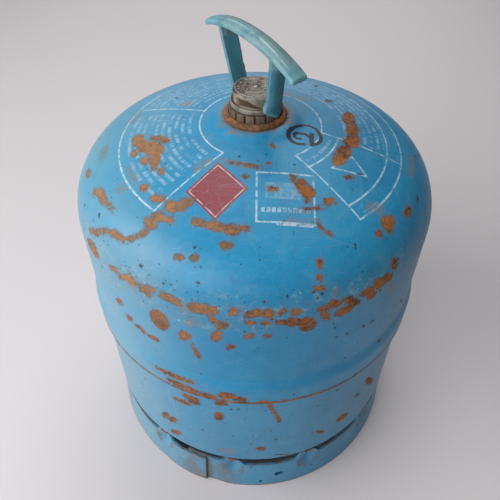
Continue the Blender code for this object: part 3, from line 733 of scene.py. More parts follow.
# %% Patches seen in the photograph
RUST = (
    (150, 147.5, 13, 6, 10), (159.7, 139.1, 9, 2.5, 8), (137.9, 140.3, 6, 4, -50),
    (154.8, 159.7, 9, 4, 95), (145.1, 160.9, 4, 3, 0), (134.2, 153.6, 3, 2, 0),
    (161.5, 171.2, 2, 2.5, 0), (143.9, 188.1, 3.5, 3, 0), (158.5, 199, 6, 3, 10),
    (171.2, 206.9, 5.5, 5, 0), (182.7, 205.7, 7, 4, -30), (186.3, 202, 7, 3, -10),
    (150, 223.3, 6, 5, 60), (157.2, 217.2, 7, 3.5, -30), (167, 219.6, 6, 2.3, 5),
    (94.2, 231.8, 4.5, 2, 20), (103.9, 231.2, 5, 1.6, 0), (112.4, 233, 4.5, 2, 15),
    (118.5, 236.6, 4, 2.2, 55), (123.3, 239.6, 2.2, 2, 0), (131.8, 238.4, 4, 1.3, -20),
    (139.1, 235.4, 4, 1.4, -25), (143.9, 233, 3.5, 2, -25), (149.4, 230, 2.5, 1, -20),
    (199.6, 222.7, 7, 3.2, 12), (215.4, 226.3, 9, 3.6, 10), (231.2, 229.9, 9, 4.4, 8),
    (243.3, 228.1, 4.5, 1.6, 15), (225.7, 245.1, 5, 2.8, 0), (245, 164.6, 8, 0.5, 10),
    (88.2, 173, 3, 1.5, 90), (101.5, 196, 7, 2.5, 65), (96, 192.4, 3, 2, 30), (107.6, 204.5, 5, 1, 45),
    (92.5, 248, 10, 2.2, 62), (245.7, 176.6, 2, 1.5, 0), (349, 118.5, 6, 5, 80),
    (352.7, 130.6, 9, 5, 80), (351.5, 141.5, 7, 6, 0), (343, 153.6, 9, 6, -50), (338.1, 160.9, 5, 4, 0),
    (300.6, 183.9, 5, 4, 0), (306.6, 191.2, 8, 5, 25), (293.3, 177.8, 3, 1.5, 60),
    (272.7, 188.7, 4, 1.5, 5), (329, 201.5, 4.5, 2.3, -5), (307.9, 199.6, 2, 2, 0),
    (311.5, 208.7, 7, 0.8, -8), (320, 226.3, 4, 1, 55), (329.7, 234.2, 2, 0.9, 40),
    (388.4, 222.7, 6, 6.5, 0), (389, 230, 2.5, 2, 0), (378.7, 233.6, 2.5, 2.2, 0),
    (407.8, 211.8, 5, 2.2, -65), (349, 177.2, 3, 0.8, 0), (272.7, 146, 2, 0.8, 20),
    (268.5, 163.3, 1, 0.5, 0), (114.4, 269.4, 4, 1.2, 20), (124.8, 277.4, 5, 1.8, 5),
    (130.5, 279.7, 3.5, 2.3, 40), (136.3, 283.1, 4, 1.5, 15), (144.3, 290, 4.5, 2.2, 10),
    (148.9, 288.9, 5, 1.8, 20), (147.7, 294, 3, 1.5, 50), (169.5, 298.6, 11, 2.6, 25),
    (201.7, 309.5, 13, 4.5, 12), (213.2, 310.7, 4, 3, 0), (233.8, 311.8, 4, 3, -30),
    (214.3, 321, 4, 2.5, 30), (222.3, 325.6, 5, 2.5, -10), (216.6, 336, 5, 3.5, -50),
    (184.5, 336, 4.5, 4, 20), (119.6, 301.5, 3, 1.8, 50), (129.4, 317.6, 2.5, 1.4, 45),
    (138.5, 326.8, 3, 1, 30), (143.1, 331.4, 2, 1.2, 45), (151.2, 337.1, 3, 1, 25),
    (155.8, 339.4, 2, 1, 25), (248.8, 336, 3.5, 1.6, -25), (230.4, 347.4, 3, 1.6, -15),
    (195.9, 352, 6, 1, 60), (179.3, 257.3, 3.5, 2, 0), (194.8, 257.9, 3, 2, 0), (248.8, 315.3, 4, 3, 0),
    (256.8, 313, 3, 3, 0), (251, 322.7, 4, 1.5, 0), (267.2, 314.1, 6, 3.5, 5),
    (264.9, 323.3, 3, 1.5, 0), (282, 311.8, 4, 1.5, -30), (295.9, 311.8, 4.5, 2, -10),
    (282.1, 322.2, 6, 1.5, 0), (292.5, 322.2, 8, 3.5, -5), (307.4, 324.5, 8, 6, -10),
    (324.6, 316.4, 4, 2.3, 20), (325.8, 308.4, 7, 2.3, -15), (335, 303.8, 6, 3, -15),
    (349.9, 300.4, 5, 3.5, 10), (344.1, 310.7, 9, 3, -25), (355.6, 303.2, 4, 2, -10),
    (368.2, 291.2, 8, 2.5, -30), (371.7, 295.8, 6, 2, -40), (379.7, 283.1, 6, 4, -40),
    (387.8, 277.4, 5, 3, -35), (394.6, 263.6, 2.5, 5, 0), (320, 264.2, 2, 4, 0),
    (319.5, 277.4, 2.2, 2.5, 0), (320, 288.3, 4, 1, 0), (267.2, 336, 2.5, 1.5, 0),
    (369.4, 380.7, 3, 3, 0), (173.6, 376, 19, 1.2, 23), (183, 386.2, 17, 1.6, 24),
    (191, 398.3, 8.5, 1.8, 22), (182, 401.5, 9, 1.2, 22), (194, 402.4, 5, 1.2, 15),
    (226.8, 396, 8.5, 2.8, 5), (238.8, 399, 7.5, 2, 8), (221, 403.6, 5.5, 1.6, 5),
    (208, 397.2, 8, 1.2, 20), (264, 402.2, 5, 0.9, -2), (219, 416.5, 4, 3.5, 0),
    (165.6, 415, 2.5, 2.5, 0), (173, 419.6, 3, 2.2, 0), (176, 432, 4.5, 1.6, 15),
    (260.4, 448.7, 3.5, 1.6, 0), (342.1, 417.4, 6, 1.8, -35), (319.8, 432, 3, 0.8, 0),
    (271, 407.5, 3, 1, 55), (274.5, 412.5, 3, 1, 55), (278, 418, 3.5, 1, 60), (159.2, 319.9, 11, 6, 52),
)
STAINS = (
    (131.8, 175.4, 8, 1.6, 60), (103.3, 153.6, 9, 2.5, -70), (185.7, 103.9, 5.5, 2, -15),
    (135.4, 117.3, 7, 2, -50), (122, 187.5, 4, 3, 0), (131.7, 285.4, 4.5, 3, 0),
    (183.3, 307.2, 8, 3, 20), (192.5, 322.2, 5, 3.5, -30), (391.2, 287.7, 4, 4, 0),
    (337.2, 291.2, 2, 4, 0), (289.7, 120.9, 4, 3, 30), (226.8, 450.9, 9, 2, 8), (265, 129, 9, 2.5, 10),
    (287, 113, 7, 4.5, 70), (283, 122, 6, 3, 30), (222, 122, 5, 2, -40), (240, 131, 12, 2, 5),
    (285, 93, 8, 2, 15), (203, 165, 9, 2, -30), (239.6, 163.5, 18, 1.9, 10), (300, 97.5, 12, 0.7, 12),
    (300, 222, 10, 1.5, 0), (375, 208, 9, 4, 20), (411, 165, 3, 10, 0),
)
PITS = (
    (99.1, 215.4, 4, 0.9, 90), (176.6, 97.9, 2, 0.8, 0), (417.5, 198.4, 6, 0.7, 85),
    (355.7, 246.3, 4, 1.3, 80), (352.7, 190, 1.4, 1.4, 0), (359.3, 174.2, 4, 0.9, 10),
    (328.5, 100.9, 4, 1.7, 10), (316.3, 85.8, 2, 1, 0), (194.8, 247.5, 2, 2, 0),
    (200.5, 248.7, 1.2, 1.2, 0), (201.1, 266.5, 1.3, 1.3, 0), (140.8, 265.9, 3, 2, 0),
    (148.9, 275.1, 1.5, 1.5, 0), (198.2, 282.6, 2, 2, 0), (263.8, 302, 1.8, 1.8, 0),
    (317.7, 298, 1.5, 1.5, 0), (335, 327.9, 1.5, 1.5, 0), (347, 333.6, 1.6, 1.6, 0),
    (372.8, 321, 3.5, 1.2, -35), (363.6, 326.2, 1.8, 1.8, 0), (379.2, 340.5, 2.5, 1.3, -45),
    (401, 300.4, 1.4, 2.4, 0), (292.5, 284.3, 2, 0.9, 0), (357, 395, 4, 1.5, -35),
    (283.6, 454.4, 10, 0.6, 0),
)
FAR_OUTSIDE = -5.0
THROUGH_THE_STEEL = 0.012
NECK_RUST = 0.0172
NECK_STAIN = 0.0190
NECK_STAIN_LEAN = 0.0018
SEAM_RUST = 1.4
SEAM_RUST_LIFT = 0.0002
RUST_SPREAD = 0.55
MOST_SOLID = 0.95

# %% Distances to the patches
def half_span(x, y, across, down):
    """From the middle of a mark to its end, on the steel. At the body's limb one end may miss it."""
    middle = on_body(x, y)[0]
    ends = []
    for side in (1, -1):
        hit = shell_tree.ray_cast(eye, ray_through(x + side * across, y + side * down))[0]
        if hit is not None:
            ends.append((hit - middle) * side)
    return sum(ends, Vector()) / max(len(ends), 1)


def patch_distance(points, marks):
    """For each point of the steel, the distance in millimetres inside the nearest mark."""
    nearest = np.full(len(points), FAR_OUTSIDE)
    for x, y, length, width, degrees in marks:
        turn = math.radians(degrees)
        middle, normal = on_body(x, y)
        along = half_span(x, y, length * math.cos(turn), length * math.sin(turn))
        aside = half_span(x, y, -width * math.sin(turn), width * math.cos(turn))
        offsets = points - np.array(middle)
        close = (
            np.abs(offsets).max(axis=1) < along.length + aside.length - FAR_OUTSIDE / 1000
        ).nonzero()[0]
        frame_of_mark = np.array(Matrix((along, aside, normal)).transposed().inverted_safe())
        local = offsets[close] @ frame_of_mark.T
        size = np.hypot(local[:, 0], local[:, 1]).clip(1e-3)
        slope = np.linalg.norm(local[:, :1] * frame_of_mark[0] + local[:, 1:2] * frame_of_mark[1], axis=1)
        inside = (1 - size) * size / slope.clip(1e-6) * 1000
        inside[np.abs(local[:, 2]) > THROUGH_THE_STEEL] = FAR_OUTSIDE
        nearest[close] = np.maximum(nearest[close], inside)
    return nearest.clip(FAR_OUTSIDE, -FAR_OUTSIDE)


def keep_attribute(made, name, values):
    layer = made.data.attributes.new(name, "FLOAT", "POINT")
    layer.data.foreach_set("value", np.asarray(values, dtype=np.float32))


def points_of(made):
    points = np.empty(3 * len(made.data.vertices))
    made.data.vertices.foreach_get("co", points)
    return points.reshape(-1, 3)


for shell in (upper_shell, lower_shell):
    points = points_of(shell)
    spread = np.hypot(points[:, 0], points[:, 1])
    around_neck = (NECK_RUST - spread) * 1000
    at_seam = SEAM_RUST - np.abs(points[:, 2] - SEAM_HEIGHT - SEAM_RUST_LIFT) * 1000
    beside_neck = (NECK_STAIN - spread + NECK_STAIN_LEAN * points[:, 1] / spread) * 1000
    patches = np.minimum(patch_distance(points, RUST) + RUST_SPREAD, MOST_SOLID)
    rusted = np.maximum(patches, np.maximum(around_neck, at_seam))
    stained = np.maximum(patch_distance(points, STAINS), beside_neck)
    kept = {"rust": rusted, "stain": stained, "pit": patch_distance(points, PITS)}
    for name, values in kept.items():
        keep_attribute(shell, name, values.clip(FAR_OUTSIDE, -FAR_OUTSIDE))
    print(shell.name, "is rusty at", int((rusted > 0).sum()), "of its points")

# %% Worn edges
def keep_edges(made, rounds, full):
    """Keeps how far each point stands proud of its smoothed surroundings: 1 at this many metres."""
    points = points_of(made)
    normals = np.empty(points.size)
    made.data.vertices.foreach_get("normal", normals)
    pairs = np.empty(2 * len(made.data.edges), dtype=int)
    made.data.edges.foreach_get("vertices", pairs)
    pairs = pairs.reshape(-1, 2)
    degree = np.bincount(pairs.ravel(), minlength=len(points)).clip(1)[:, None]
    smooth = points.copy()
    for _ in range(rounds):
        total = np.zeros_like(smooth)
        np.add.at(total, pairs[:, 0], smooth[pairs[:, 1]])
        np.add.at(total, pairs[:, 1], smooth[pairs[:, 0]])
        smooth = total / degree
    proud = ((points - smooth) * normals.reshape(-1, 3)).sum(axis=1) / full
    keep_attribute(made, "edge", proud.clip(-1, 1))


GRIP_DEPTH = 0.004
RIDGE_SHARE = 0.31
grip_points = points_of(handle)
on_top = grip_points[:, 2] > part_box("carry_handle")[1].z - GRIP_DEPTH
grip_points = grip_points[on_top] @ np.array(handle_across)
grip_ridge = float(grip_points.min() + RIDGE_SHARE * np.ptp(grip_points))
keep_edges(handle, rounds=14, full=0.0003)
keep_edges(plug, rounds=10, full=0.0002)
keep_edges(foot_ring, rounds=2, full=0.0001)

# %% [markdown]
# ## Shader helpers
#
# A finish is a graph of small nodes. We write it as sums: a signal is what a node puts out, and adding
# or multiplying signals adds the nodes that do it. The other functions are common steps such as
# mixing, noise and a smooth threshold. Effects that several finishes share are built once as node
# groups, with named sockets.

# %% Node helpers
class Signal:
    """What a node puts out. Arithmetic with it adds Math nodes to its own graph."""

    def __init__(self, socket):
        self.socket = socket
        self.tree = socket.id_data

    def __add__(self, other):
        return calc("ADD", self, other)

    def __sub__(self, other):
        return calc("SUBTRACT", self, other)

    def __rsub__(self, other):
        return calc("SUBTRACT", other, self)

    def __mul__(self, other):
        return calc("MULTIPLY", self, other)

    def __truediv__(self, other):
        return calc("DIVIDE", self, other)


class Ends:
    """The outputs of a node, found by name or number."""

    def __init__(self, sockets):
        self.sockets = sockets

    def __getitem__(self, key):
        return Signal(self.sockets[key])


def new_node(tree, kind, **settings):
    node = tree.nodes.new("ShaderNode" + kind)
    for key, value in settings.items():
        setattr(node, key, value)
    return node


def feed(socket, value):
    """Wires a socket to a signal, or sets it to a constant."""
    if isinstance(value, Signal):
        value.tree.links.new(value.socket, socket)
    elif socket.type == "RGBA":
        socket.default_value = (*value, 1.0)
    else:
        socket.default_value = value


def ends_of(kind, values, **settings):
    """A node in the graph of the first signal among its values. They are named, or fed in order."""
    named = values if isinstance(values, dict) else dict(enumerate(values))
    tree = next(value.tree for value in named.values() if isinstance(value, Signal))
    node = new_node(tree, kind, **settings)
    for key, value in named.items():
        feed(node.inputs[key], value)
    return Ends(node.outputs)


def fed(kind, values, output=0, **settings):
    return ends_of(kind, values, **settings)[output]


def calc(operation, *values):
    return fed("Math", values, operation=operation)


def move(operation, *values):
    return fed("VectorMath", values, operation=operation)


def measure(operation, *values):
    return fed("VectorMath", values, "Value", operation=operation)


def fade(value, low, high):
    """0 up to low, 1 from high, and smooth between them."""
    return fed("MapRange", (value, low, high), interpolation_type="SMOOTHSTEP")


def mix(share, first, second):
    return fed("Mix", {0: share, 6: first, 7: second}, 2, data_type="RGBA")


def blend_value(share, first, second):
    return fed("Mix", {0: share, 2: first, 3: second}, data_type="FLOAT")


def grain(place, scale, detail=3.0, roughness=0.5, distortion=0.0):
    named = {
        "Vector": place, "Scale": scale, "Detail": detail, "Roughness": roughness,
        "Distortion": distortion,
    }
    return fed("TexNoise", named)


def stretch(place, turn, scale):
    """The place turned and stretched, for grain that runs one way."""
    return fed("Mapping", {"Vector": place, "Rotation": turn, "Scale": scale}, vector_type="POINT")


def split(place):
    parts = ends_of("SeparateXYZ", (place,))
    return parts[0], parts[1], parts[2]


def most(masks):
    total = masks[0]
    for mask in masks[1:]:
        total = calc("MAXIMUM", total, mask)
    return total


def attribute(place, name):
    """A value kept on the mesh, in the graph that this place belongs to."""
    return Signal(new_node(place.tree, "Attribute", attribute_name=name).outputs["Fac"])


def new_group(name, inputs, *outputs):
    """A node group and its two ends. A tuple makes a vector input, and Colour is a colour output."""
    tree = bpy.data.node_groups.new(name, "ShaderNodeTree")
    for title, value in inputs.items():
        kind = "NodeSocketVector" if isinstance(value, tuple) else "NodeSocketFloat"
        tree.interface.new_socket(title, in_out="INPUT", socket_type=kind).default_value = value
    for title in outputs:
        kind = "NodeSocketColor" if title == "Colour" else "NodeSocketFloat"
        tree.interface.new_socket(title, in_out="OUTPUT", socket_type=kind)
    print("group", name, "has", len(inputs), "inputs")
    return tree, Ends(tree.nodes.new("NodeGroupInput").outputs), tree.nodes.new("NodeGroupOutput").inputs


def use(group, place, **values):
    """One of our own groups, at this place, with its other inputs by name."""
    return ends_of("Group", {"Place": place, **values}, node_tree=group)

# %% [markdown]
# ## Shared effects
#
# Rust is grainy and runs from nearly black through orange to a sandy bloom. Flaking takes a smooth
# distance and gives it the ragged outline of paint that has let go. Specks, scratches and dirt are
# the small change of any used surface.

# %% Rust
ORIGIN = (0.0, 0.0, 0.0)
rust_group, start, end = new_group(
    "Rust", {"Place": ORIGIN, "Darkness": 0.0}, "Colour", "Roughness", "Height"
)
broad = grain(start["Place"], 90.0, 4.0, 0.6)
medium = grain(start["Place"], 520.0, 5.0, 0.7)
fine = grain(start["Place"], 1400.0, 3.0, 0.6)
tone = broad * 0.8 + medium - start["Darkness"]
hue = mix(fade(tone, 0.76, 0.95), (0.105, 0.046, 0.024), (0.32, 0.112, 0.025))
hue = mix(fade(tone, 1.0, 1.18), hue, (0.4, 0.21, 0.085))
hue = mix(fade(fine, 0.5, 0.68) * 0.62, hue, (0.085, 0.036, 0.018))
feed(end["Colour"], hue)
feed(end["Roughness"], blend_value(fine, 0.7, 0.98))
feed(end["Height"], medium + fine * 0.6)

# %% Flaking
flaking_group, start, end = new_group(
    "Flaking", {"Place": ORIGIN, "Distance": -5.0, "Ragged": 1.0}, "Bare", "Halo", "Lip"
)
shift = grain(start["Place"], 480.0, 6.0, 0.76, 0.8) - 0.5
nibble = grain(start["Place"], 1900.0, 4.0, 0.65) - 0.5
wobble = shift * 13.0 + nibble * 5.5
depth = start["Distance"] + wobble * start["Ragged"]
feed(end["Bare"], fade(depth, -0.12, 0.3))
feed(end["Halo"], fade(depth, -2.2, 0.2))
feed(end["Lip"], fade(depth, -0.7, -0.1) * fade(depth, 0.3, -0.05))

# %% Specks
specks_group, start, end = new_group(
    "Specks", {"Place": ORIGIN, "Scale": 300.0, "Size": 0.25, "Share": 0.3}, "Mask"
)
cell = ends_of("TexVoronoi", {"Vector": start["Place"], "Scale": start["Scale"]})
chance = split(cell["Color"])
radius = start["Size"] * chance[1]
dot = fade(cell["Distance"] - radius, 0.0, -0.06)
feed(end["Mask"], dot * calc("LESS_THAN", chance[0], start["Share"]))

# %% Scratches
scratch_group, start, end = new_group(
    "Scratches", {"Place": ORIGIN, "Density": 0.5, "Width": 0.02}, "Mask"
)
SCRATCH_WAYS = (
    ((0.4, 0.2, 0.5), (2.5, 150.0, 150.0)),
    ((1.2, 0.1, 2.1), (130.0, 3.0, 130.0)),
    ((0.2, 0.9, 1.2), (110.0, 110.0, 2.5)),
)
lines = []
for turn, scale in SCRATCH_WAYS:
    field = grain(stretch(start["Place"], turn, scale), 1.0, 0.5, 0.4)
    away = calc("ABSOLUTE", field - 0.5)
    line = fade(away, start["Width"], 0.0)
    gate = grain(move("ADD", start["Place"], turn), 38.0, 2.0, 0.5)
    lines.append(line * fade(gate, 1.0 - start["Density"], 1.0))
feed(end["Mask"], most(lines))

# %% Dirt
dirt_group, start, end = new_group("Dirt", {"Place": ORIGIN, "Amount": 0.5}, "Mask", "Colour")
cloud = grain(start["Place"], 45.0, 5.0, 0.6, 0.4)
streak = grain(stretch(start["Place"], ORIGIN, (120.0, 120.0, 18.0)), 1.0, 3.0, 0.55)
both = cloud * 0.6 + streak * 0.4
feed(end["Mask"], fade(both + start["Amount"], 0.75, 1.25))
feed(end["Colour"], mix(streak, (0.1, 0.075, 0.05), (0.21, 0.17, 0.12)))

# %% [markdown]
# ## Print groups
#
# The cylinder's print is drawn with a few flat shapes, in millimetres on its plan: a line between two
# points, part of a ring, a square or diamond, and rows of plain dashes where the real one has words.

# %% Shapes for the print
PRINT_BLUR = 0.18
stroke_group, start, end = new_group(
    "Stroke", {"Place": ORIGIN, "Start": ORIGIN, "End": ORIGIN, "Width": 0.9}, "Mask"
)
run = move("SUBTRACT", start["End"], start["Start"])
offset = move("SUBTRACT", start["Place"], start["Start"])
along = measure("DOT_PRODUCT", offset, run) / measure("DOT_PRODUCT", run, run)
along = calc("MINIMUM", calc("MAXIMUM", along, 0.0), 1.0)
scaled = fed("VectorMath", {0: run, "Scale": along}, operation="SCALE")
inside = start["Width"] * 0.5 - measure("DISTANCE", offset, scaled)
feed(end["Mask"], fade(inside, -PRINT_BLUR, PRINT_BLUR))

arc_group, start, end = new_group(
    "Arc line", {"Place": ORIGIN, "Radius": 30.0, "Width": 0.9, "Middle": ORIGIN, "Cosine": -1.1}, "Mask"
)
radius = measure("LENGTH", start["Place"])
inside = start["Width"] * 0.5 - calc("ABSOLUTE", radius - start["Radius"])
facing = measure("DOT_PRODUCT", move("NORMALIZE", start["Place"]), start["Middle"])
feed(end["Mask"], fade(inside, -PRINT_BLUR, PRINT_BLUR) * calc("GREATER_THAN", facing, start["Cosine"]))

field_group, start, end = new_group(
    "Field",
    {"Place": ORIGIN, "Centre": ORIGIN, "Half": (10.0, 10.0, 1.0), "Pointed": 0.0, "Reach": 10.0},
    "Inside",
)
offset = move(
    "ABSOLUTE", move("DIVIDE", move("SUBTRACT", start["Place"], start["Centre"]), start["Half"])
)
side, rise, _ = split(offset)
norm = blend_value(start["Pointed"], calc("MAXIMUM", side, rise), side + rise)
feed(end["Inside"], (1.0 - norm) * start["Reach"])

rows_group, start, end = new_group("Print rows", {"Place": ORIGIN, "Pitch": 4.0, "Letter": 1.1}, "Mask")
side, rise, _ = split(start["Place"])
row = measure("LENGTH", start["Place"]) / start["Pitch"]
line = calc("FLOOR", row)
turn = calc("ARCTAN2", side, rise)
reach = turn * (line + 0.5) * start["Pitch"]
letters = reach / start["Letter"]
dice = fed("CombineXYZ", (calc("FLOOR", letters), line))
ink = fed("TexWhiteNoise", (dice,))
lot = calc("FLOOR", letters * 0.24)
words = fed("CombineXYZ", (lot, line + 31.0))
word = fed("TexWhiteNoise", (words,))
across = calc("ABSOLUTE", calc("FRACT", row) - 0.5)
body_of_row = fade(across, 0.29, 0.21)
gap = fade(calc("ABSOLUTE", calc("FRACT", letters) - 0.5), 0.46, 0.34)
kept = calc("GREATER_THAN", ink, 0.2) * calc("GREATER_THAN", word, 0.16)
feed(end["Mask"], body_of_row * gap * kept)

# %% [markdown]
# ## Painted steel
#
# All the blue steel shares one finish. From below to above it is paint with a slow mottle, chalky
# scuffs, print where the piece has some, stains, dark pits, and last the rust that eats through them
# all. The left side of the paint, and the rust on the upper left, are mixed paler as painted highlight
# where the light falls. The upper shell adds its print, and the foot ring adds dirt near the floor.

# %% Starting a finish
def new_finish(name):
    finish = bpy.data.materials.new(name)
    finish.use_nodes = True
    place = Signal(new_node(finish.node_tree, "TexCoord").outputs["Object"])
    return finish, finish.node_tree.nodes["Principled BSDF"], place


def layered(shader, colour, roughness, metal=0.0):
    feed(shader.inputs["Base Color"], colour)
    feed(shader.inputs["Roughness"], roughness)
    feed(shader.inputs["Metallic"], metal)


def relief_of(shader, height, metres):
    """Bumps the surface by a height of 0 to 1 that stands for this many metres."""
    feed(shader.inputs["Normal"], fed("Bump", {"Height": height, "Distance": metres}))


def from_axis(place):
    """How far a place lies from the cylinder's axis."""
    return measure("LENGTH", move("MULTIPLY", place, (1.0, 1.0, 0.0)))


def soiled(place, colour, amount, share):
    """The colour under this share of dirt."""
    dirt = use(dirt_group, place, Amount=amount)
    return mix(dirt["Mask"] * share, colour, dirt["Colour"])

# %% Print on the upper shell
PRINT_CENTRE = (2.8, -2.5, 0.0)
PRINT_LINE = 0.9
PRINT_ARCS = (
    (32.35, PRINT_LINE, 179.5, 145.5), (76.0, PRINT_LINE, 178.5, 140.5),
    (68.1, PRINT_LINE, 109.0, 71.0), (41.5, PRINT_LINE, 54.5, 21.0),
)
PRINT_STROKES = (
    ((-15.9, -29.1), (-47.5, -59.6)), ((-28.1, 8.6), (-65.9, 24.9)), ((20.4, -30.1), (50.0, -61.8)),
    ((34.9, -9.6), (75.8, -19.0)), ((38.1, -35.0), (56.0, -36.1)), ((56.0, -36.1), (49.4, -24.5)),
    ((49.4, -24.5), (38.1, -35.0)),
)
PRINT_ROWS = (
    (54.0, 37.0, -75.0, 30.0, 3.6, 0.8), (54.0, 37.0, -147.0, 32.0, 3.6, 0.8),
    (55.0, 23.0, 129.0, 50.0, 3.6, 0.8), (37.0, 3.6, 54.0, 17.0, 3.6, 0.8),
    (72.1, 4.6, 98.0, 19.0, 8.0, 1.7), (72.1, 4.6, 46.0, 4.5, 8.0, 1.7),
)
MARKER_LINES = (
    (2.0, ((311.5, 145.4), (317.2, 143.9), (320.6, 141.4), (321.2, 137.3), (318.8, 132.3))),
    (1.7, ((318.8, 132.3), (315.3, 128.6), (309.5, 125.8), (303.6, 125.3), (297.8, 126.1), (292, 128.4))),
    (2.4, ((292.0, 128.4), (289.0, 131.1), (288.2, 134.8), (289.6, 138.6), (292.9, 142.0))),
    (1.9, ((292.9, 142.0), (297.8, 143.9), (304.1, 144.3))),
    (1.8, ((300.5, 138.8), (297.4, 138.5), (294.6, 136.6), (294.4, 134.2), (297.0, 133.1))),
    (1.8, ((297.0, 133.1), (304.5, 133.8), (309.5, 136.9))),
    (2.6, ((311.9, 134.4), (311.3, 138.1), (311.9, 143.4))),
)
WHITE_INK = (0.62, 0.74, 0.80)
RED_FIELD = (0.235, 0.034, 0.040)
MARKER_INK = (0.006, 0.004, 0.020)


def toward(degrees):
    return (math.sin(math.radians(degrees)), -math.cos(math.radians(degrees)), 0.0)


def stroke(plan, start, end, width):
    ends = {"Start": (*start, 0.0), "End": (*end, 0.0)}
    return use(stroke_group, plan, Width=width, **ends)[0]


def part_of_ring(centred, radius, width, middle, half):
    """Part of a ring, which reaches this many degrees to either side of its middle."""
    ends = {"Middle": toward(middle), "Cosine": math.cos(math.radians(half))}
    return use(arc_group, centred, Radius=radius, Width=width, **ends)[0]


def field(plan, centre, half, reach, pointed=0.0):
    form = {"Centre": (*centre, 0.0), "Half": (*half, 1.0), "Pointed": pointed}
    return use(field_group, plan, Reach=reach, **form)[0]


def printed(place, paint_colour):
    """The paint's colour with the print laid over it, and where the marker pen has been."""
    plan = move("MULTIPLY", place, (1000.0, 1000.0, 0.0))
    centred = move("SUBTRACT", plan, PRINT_CENTRE)
    lines = [stroke(plan, *ends, PRINT_LINE) for ends in PRINT_STROKES]
    lines += [part_of_ring(centred, *form) for form in PRINT_ARCS]
    lines.append(fade(calc("ABSOLUTE", field(plan, (14.6, -55.6), (13.6, 13.4), 13.5)), 0.62, 0.3))
    lines.append(stroke(plan, (11.0, -69.6), (26.6, -69.3), 1.9))
    step = calc("FRACT", split(plan)[0] * 0.4)
    lines.append(stroke(plan, (4.0, -63.0), (25.0, -62.4), 2.4) * fade(step, 0.2, 0.3) * 0.8)
    lines.append(fade(field(plan, (13.5, -52.4), (8.5, 4.6), 5.0), -0.1, 0.2) * 0.3)
    words = []
    for *form, pitch, letter in PRINT_ROWS:
        rows = use(rows_group, centred, Pitch=pitch, Letter=letter)[0]
        words.append(part_of_ring(centred, *form) * rows)
    diamond = field(plan, (-17.95, -51.8), (15.05, 16.5), 11.1, pointed=1.0)
    rubbed = grain(place, 260.0, 6.0, 0.75)
    fresh = fade(rubbed, 0.36, 0.56)
    white = most(lines) * fresh * 0.66
    faint = most(words) * fresh * 0.34
    colour = mix(calc("MAXIMUM", white, faint), paint_colour, WHITE_INK)
    red = mix(grain(place, 60.0, 4.0), RED_FIELD, (0.29, 0.058, 0.062))
    colour = mix(fade(diamond + (rubbed - 0.5) * 0.8, -0.15, 0.15) * 0.95, colour, red)
    inner = fade(calc("ABSOLUTE", diamond - 1.3), 0.4, 0.15)
    colour = mix(inner * fresh * 0.6, colour, WHITE_INK)
    pen = []
    for width, pixels in MARKER_LINES:
        corners = [on_body(*pixel)[0].xy * 1000 for pixel in pixels]
        pen += [stroke(plan, *ends, width) for ends in zip(corners, corners[1:])]
    return colour, most(pen)

# %% Paint
PAINT_DEEP = (0.006, 0.200, 0.400)
PAINT_BRIGHT = (0.018, 0.258, 0.470)
PAINT_CHALK = (0.13, 0.33, 0.45)
PAINT_PALE = (0.21, 0.39, 0.46)
LIT_SIDE_RANGE = (-0.018, -0.098)
PLAIN_GREY = (0.22, 0.27, 0.28)
PLAIN_GREY_SHARE = 0.12
PAINT_SHEEN = 0.35
SCUFF_BAND = (0.172, 0.184, 0.197, 0.209)


